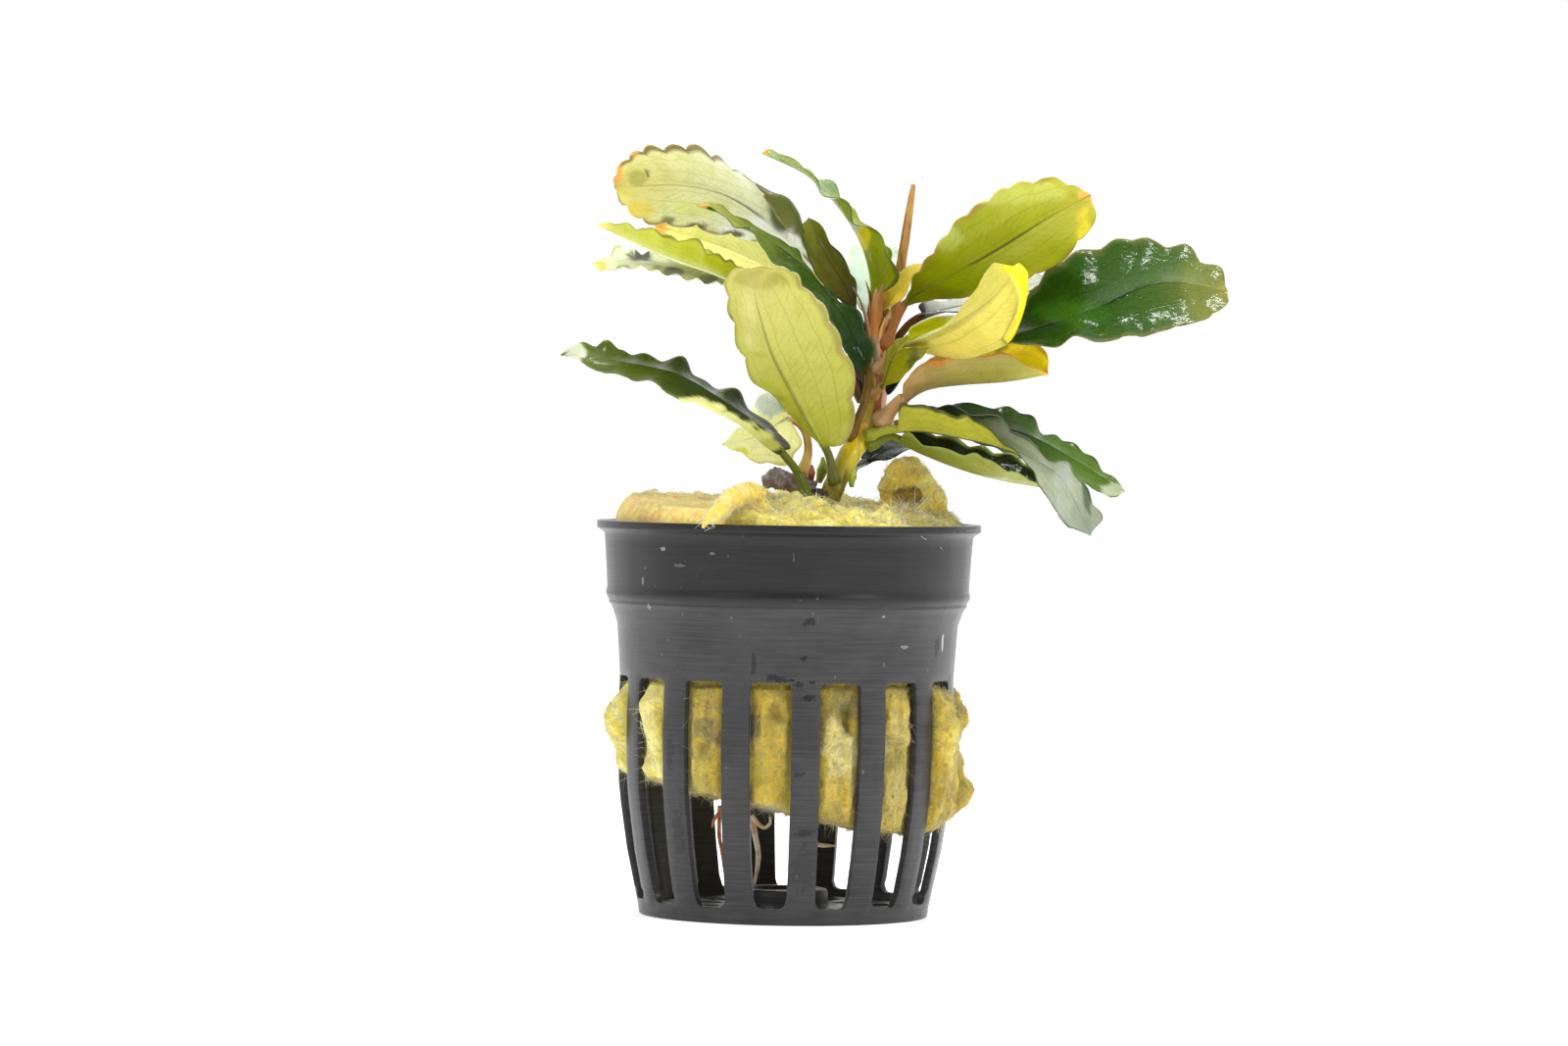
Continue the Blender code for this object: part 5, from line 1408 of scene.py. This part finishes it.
# Build the plant, the pot and the wool
skins = {
    "pale": leaf_material("leaf_skin_pale", 0.85, 0.36, 0.25, 0.12, 0.00010, 0.0),
    "mid": leaf_material("leaf_skin_mid", 0.8, 0.30, 0.2, 0.12, 0.00012, 0.05),
    "glossy": leaf_material("leaf_skin_glossy", 0.4, 0.2, 0.03, 0.16, 0.00018, 0.08),
}
for number, (name, leaf) in enumerate(LEAVES.items()):
    make_leaf(name, leaf, number + 1, skins)

make_stem(plain_growth("stem_skin_look", None, 0.3, 1.0, True, 0.15))
rhizome_skin = plain_growth("rhizome_skin_look", [(156, 144, 146), (104, 88, 86)], 0.5, 1.2)
make_tube("rhizome", RHIZOME_ROUTE, RHIZOME_RADII, 28, 60, rhizome_skin, "rhizome_skin", lumps=0.32,
          lump_size=1.3, rings=0.12, seed=5)
make_fringe(plain_growth("root_dark_look", [(84, 60, 40), (44, 30, 22)], 0.5, 0.8))
brown = plain_growth("shoot_look", [(196, 148, 70), (150, 92, 42)], 0.3, 0.8, True, 0.2)
lime = plain_growth("bud_look", [(158, 174, 40), (110, 126, 34)], 0.3, 0.8, True, 0.15)
red = plain_growth("bud_red_look", [(134, 62, 30), (92, 44, 26)], 0.3, 0.8, True)
cream = plain_growth("root_cream_look", [(240, 226, 204), (222, 190, 150)], 0.4, 1.6, False, 0.25)
orange = plain_growth("root_orange_look", [(230, 160, 100), (200, 104, 50)], 0.4, 1.6, False, 0.25)
# Shoots and roots: the solids' routes, radii, material and slot
GROWTHS = {
    "spike": ([(13, 2.5, 79), (14, 4, 82.5), (15, 5, 90), (16.5, 6, 101)],
              [0.5, 0.7, 0.7, 0.68, 0.64, 0.58, 0.3], brown, "shoot_brown"),
    "bud_green": ([(4, 0, 59.5), (4.5, 0, 61.5), (4.5, 0.5, 63)], [0.4, 0.8, 0.2], lime, "leaf_lime"),
    "bud_red": ([(3, -4.5, 60), (3, -5, 61), (3, -5, 62)], [0.35, 0.5, 0.15], red, "shoot_brown"),
    "shoot_sliver": ([(8.5, -5, 59), (8.5, -5, 60), (9, -5, 62)], [0.3, 0.55, 0.15], lime, "leaf_lime"),
    "root_white": ([(-4.5, -2, 13.5), (-4, -3, 11), (-3.5, -3, 8), (-4, -2, 4)], [0.45, 0.4, 0.35, 0.2],
                   cream, "root_cream"),
    "root_orange": ([(-8, 3, 15), (-9.5, 3, 13), (-10, 4, 11.5)], [0.3, 0.25, 0.15], orange, "root_orange"),
    "root_orange_long": ([(-9, 4.5, 14.5), (-9, 5, 10.5), (-8.5, 5, 7.5), (-8, 5, 4)], [0.3, 0.3, 0.25, 0.15],
                         orange, "root_orange"),
    "root_pink": ([(3, -5, 12), (4, -5.5, 10.5), (5, -6, 10), (7, -7, 10)], [0.4, 0.35, 0.3, 0.15], cream,
                  "root_cream"),
    "root_curl": ([(-4.5, -8, 14), (-3, -8.5, 12.5), (-2, -9, 13), (-2, -9.5, 14)],
                  [0.3, 0.3, 0.25, 0.15], cream, "root_cream"),
}
for number, (name, (route, radii, material, slot)) in enumerate(GROWTHS.items()):
    make_tube(name, route, radii, 16, 60, material, slot, lumps=0.05, lump_size=1.0, seed=20 + number)

make_pot(pot_material())

wool = wool_material("rock_wool_look", [(206, 188, 30), (240, 222, 84), (252, 242, 156), (255, 252, 210)],
                     painted_shade_and_light=True, layered=True)
# a brighter copy of the wool, for the strip, and for the flap as painted light
bright_wool = wool_material("rock_wool_bright",
                            [(236, 190, 44), (250, 218, 74), (255, 236, 132), (255, 250, 196)])
plug = make_plug(wool)
strip_end = (-11.6, -27.7, 53.6)
strip = make_tube("rock_wool_strip", WOOL_STRIP_ROUTE + [strip_end], [1.1, 1.5, 1.5, 1.3, 0.9, 0.4], 60, 90,
                  bright_wool, "rock_wool", lumps=0.5, lump_size=1.8, seed=31)
# painted light: the flap takes the brighter wool to make up for the shade on its front
flap = make_flap(bright_wool)
thread = wool_material("rock_wool_thread_look",
                       [(236, 218, 120), (248, 234, 150), (255, 246, 190), (255, 252, 220)], painted_shade_and_light=True)
lengths = np.random.default_rng(4)
# Threads: what they lie on, how many, where, their shortest and longest, how far they lift, and their radius
THREADS = {
    "low": (plug, 6500, in_slots, (0.7, 2.2), 0.18, 0.05),
    "top": (plug, 5000, on_crown, (0.6, 2.0), 0.2, 0.05),
    "strip": (strip, 450, anywhere, (0.5, 1.4), 0.1, 0.05),
    "flap": (flap, 900, anywhere, (0.5, 1.5), 0.1, 0.05),
    "rim": (plug, 130, at_right_rim, (1.5, 4.0), 0.4, 0.08),
}
for number, (where, (thing, count, keep, span, spread, radius)) in enumerate(THREADS.items()):
    seats, outward = seats_on(thing, count, 61 + 2 * number, keep)
    make_threads("rock_wool_threads_" + where, seats, outward, lengths.uniform(*span, count), thread,
                 62 + 2 * number, spread, radius)

# Floor, light and camera


def make_floor():
    g = material_graph("floor_paper")
    paper = g.mix(g.noise(60.0), (0.92, 0.92, 0.92), (0.95, 0.95, 0.95))
    glowing = {"Base Color": paper, "Roughness": 0.9, "Emission Color": (1, 1, 1), "Emission Strength": 0.45}
    mesh = bpy.data.meshes.new("floor")
    mesh.from_pydata([(-6, -6, 0), (6, -6, 0), (6, 6, 0), (-6, 6, 0)], [], [(0, 1, 2, 3)])
    mesh.materials.append(g.finish(g.add("BsdfPrincipled", glowing)))
    floor = bpy.data.objects.new("floor", mesh)
    bpy.context.scene.collection.objects.link(floor)


def make_world():
    """White all round, brighter behind the plant than on the camera's side, and pure white to the camera."""
    world = bpy.data.worlds.new("studio")
    bpy.context.scene.world = world
    g = Graph(world, "OutputWorld", "Generated")
    x, y, z = g.split(g.coords)
    light = g.ramp(y, -0.75, 0.4, 0.42, 1.45) * g.ramp(z, 0.2, 0.95, 1.0, 0.6, "LINEAR")
    seen = g.add("Mix", {0: g.add("LightPath", {}, "Is Camera Ray"), 2: light, 3: 1.05})
    g.finish(g.add("Background", {"Color": (1.0, 1.0, 1.0), "Strength": seen}))


def soft_box(name, place, target, size, power):
    data = bpy.data.lights.new(name, "AREA")
    data.shape = "RECTANGLE"
    data.size, data.size_y = size
    data.energy = power
    lamp = bpy.data.objects.new(name, data)
    bpy.context.scene.collection.objects.link(lamp)
    lamp.location = place
    lamp.rotation_mode = "QUATERNION"
    lamp.rotation_quaternion = (Vector(target) - Vector(place)).to_track_quat("-Z", "Y")
    lamp.visible_camera = False


make_floor()
make_world()
soft_box("softbox_top", (0.05, 0.05, 0.75), (0.01, 0, 0.07), (0.36, 0.05), 3.6)
soft_box("softbox_front_left", (-0.55, -0.7, 0.6), (0, 0, 0.06), (0.05, 0.25), 2.2)
soft_box("softbox_right", (0.6, -0.5, 0.45), (0, 0, 0.07), (0.05, 0.25), 2.6)

camera = bpy.data.objects.new("camera", bpy.data.cameras.new("camera"))
bpy.context.scene.collection.objects.link(camera)
turned = Matrix((RIGHT, UP, -AHEAD)).transposed().to_4x4()
camera.matrix_world = Matrix.Translation(EYE * MM) @ turned
camera.data.sensor_width = 36.0
camera.data.lens = FOCAL_PIXELS / PHOTO_SIZE[0] * camera.data.sensor_width
camera.data.clip_start = 0.01
camera.data.clip_end = 20.0
bpy.context.scene.camera = camera
bpy.context.scene.view_settings.view_transform = "Standard"
bpy.context.scene.view_settings.look = "None"

bpy.context.view_layer.update()
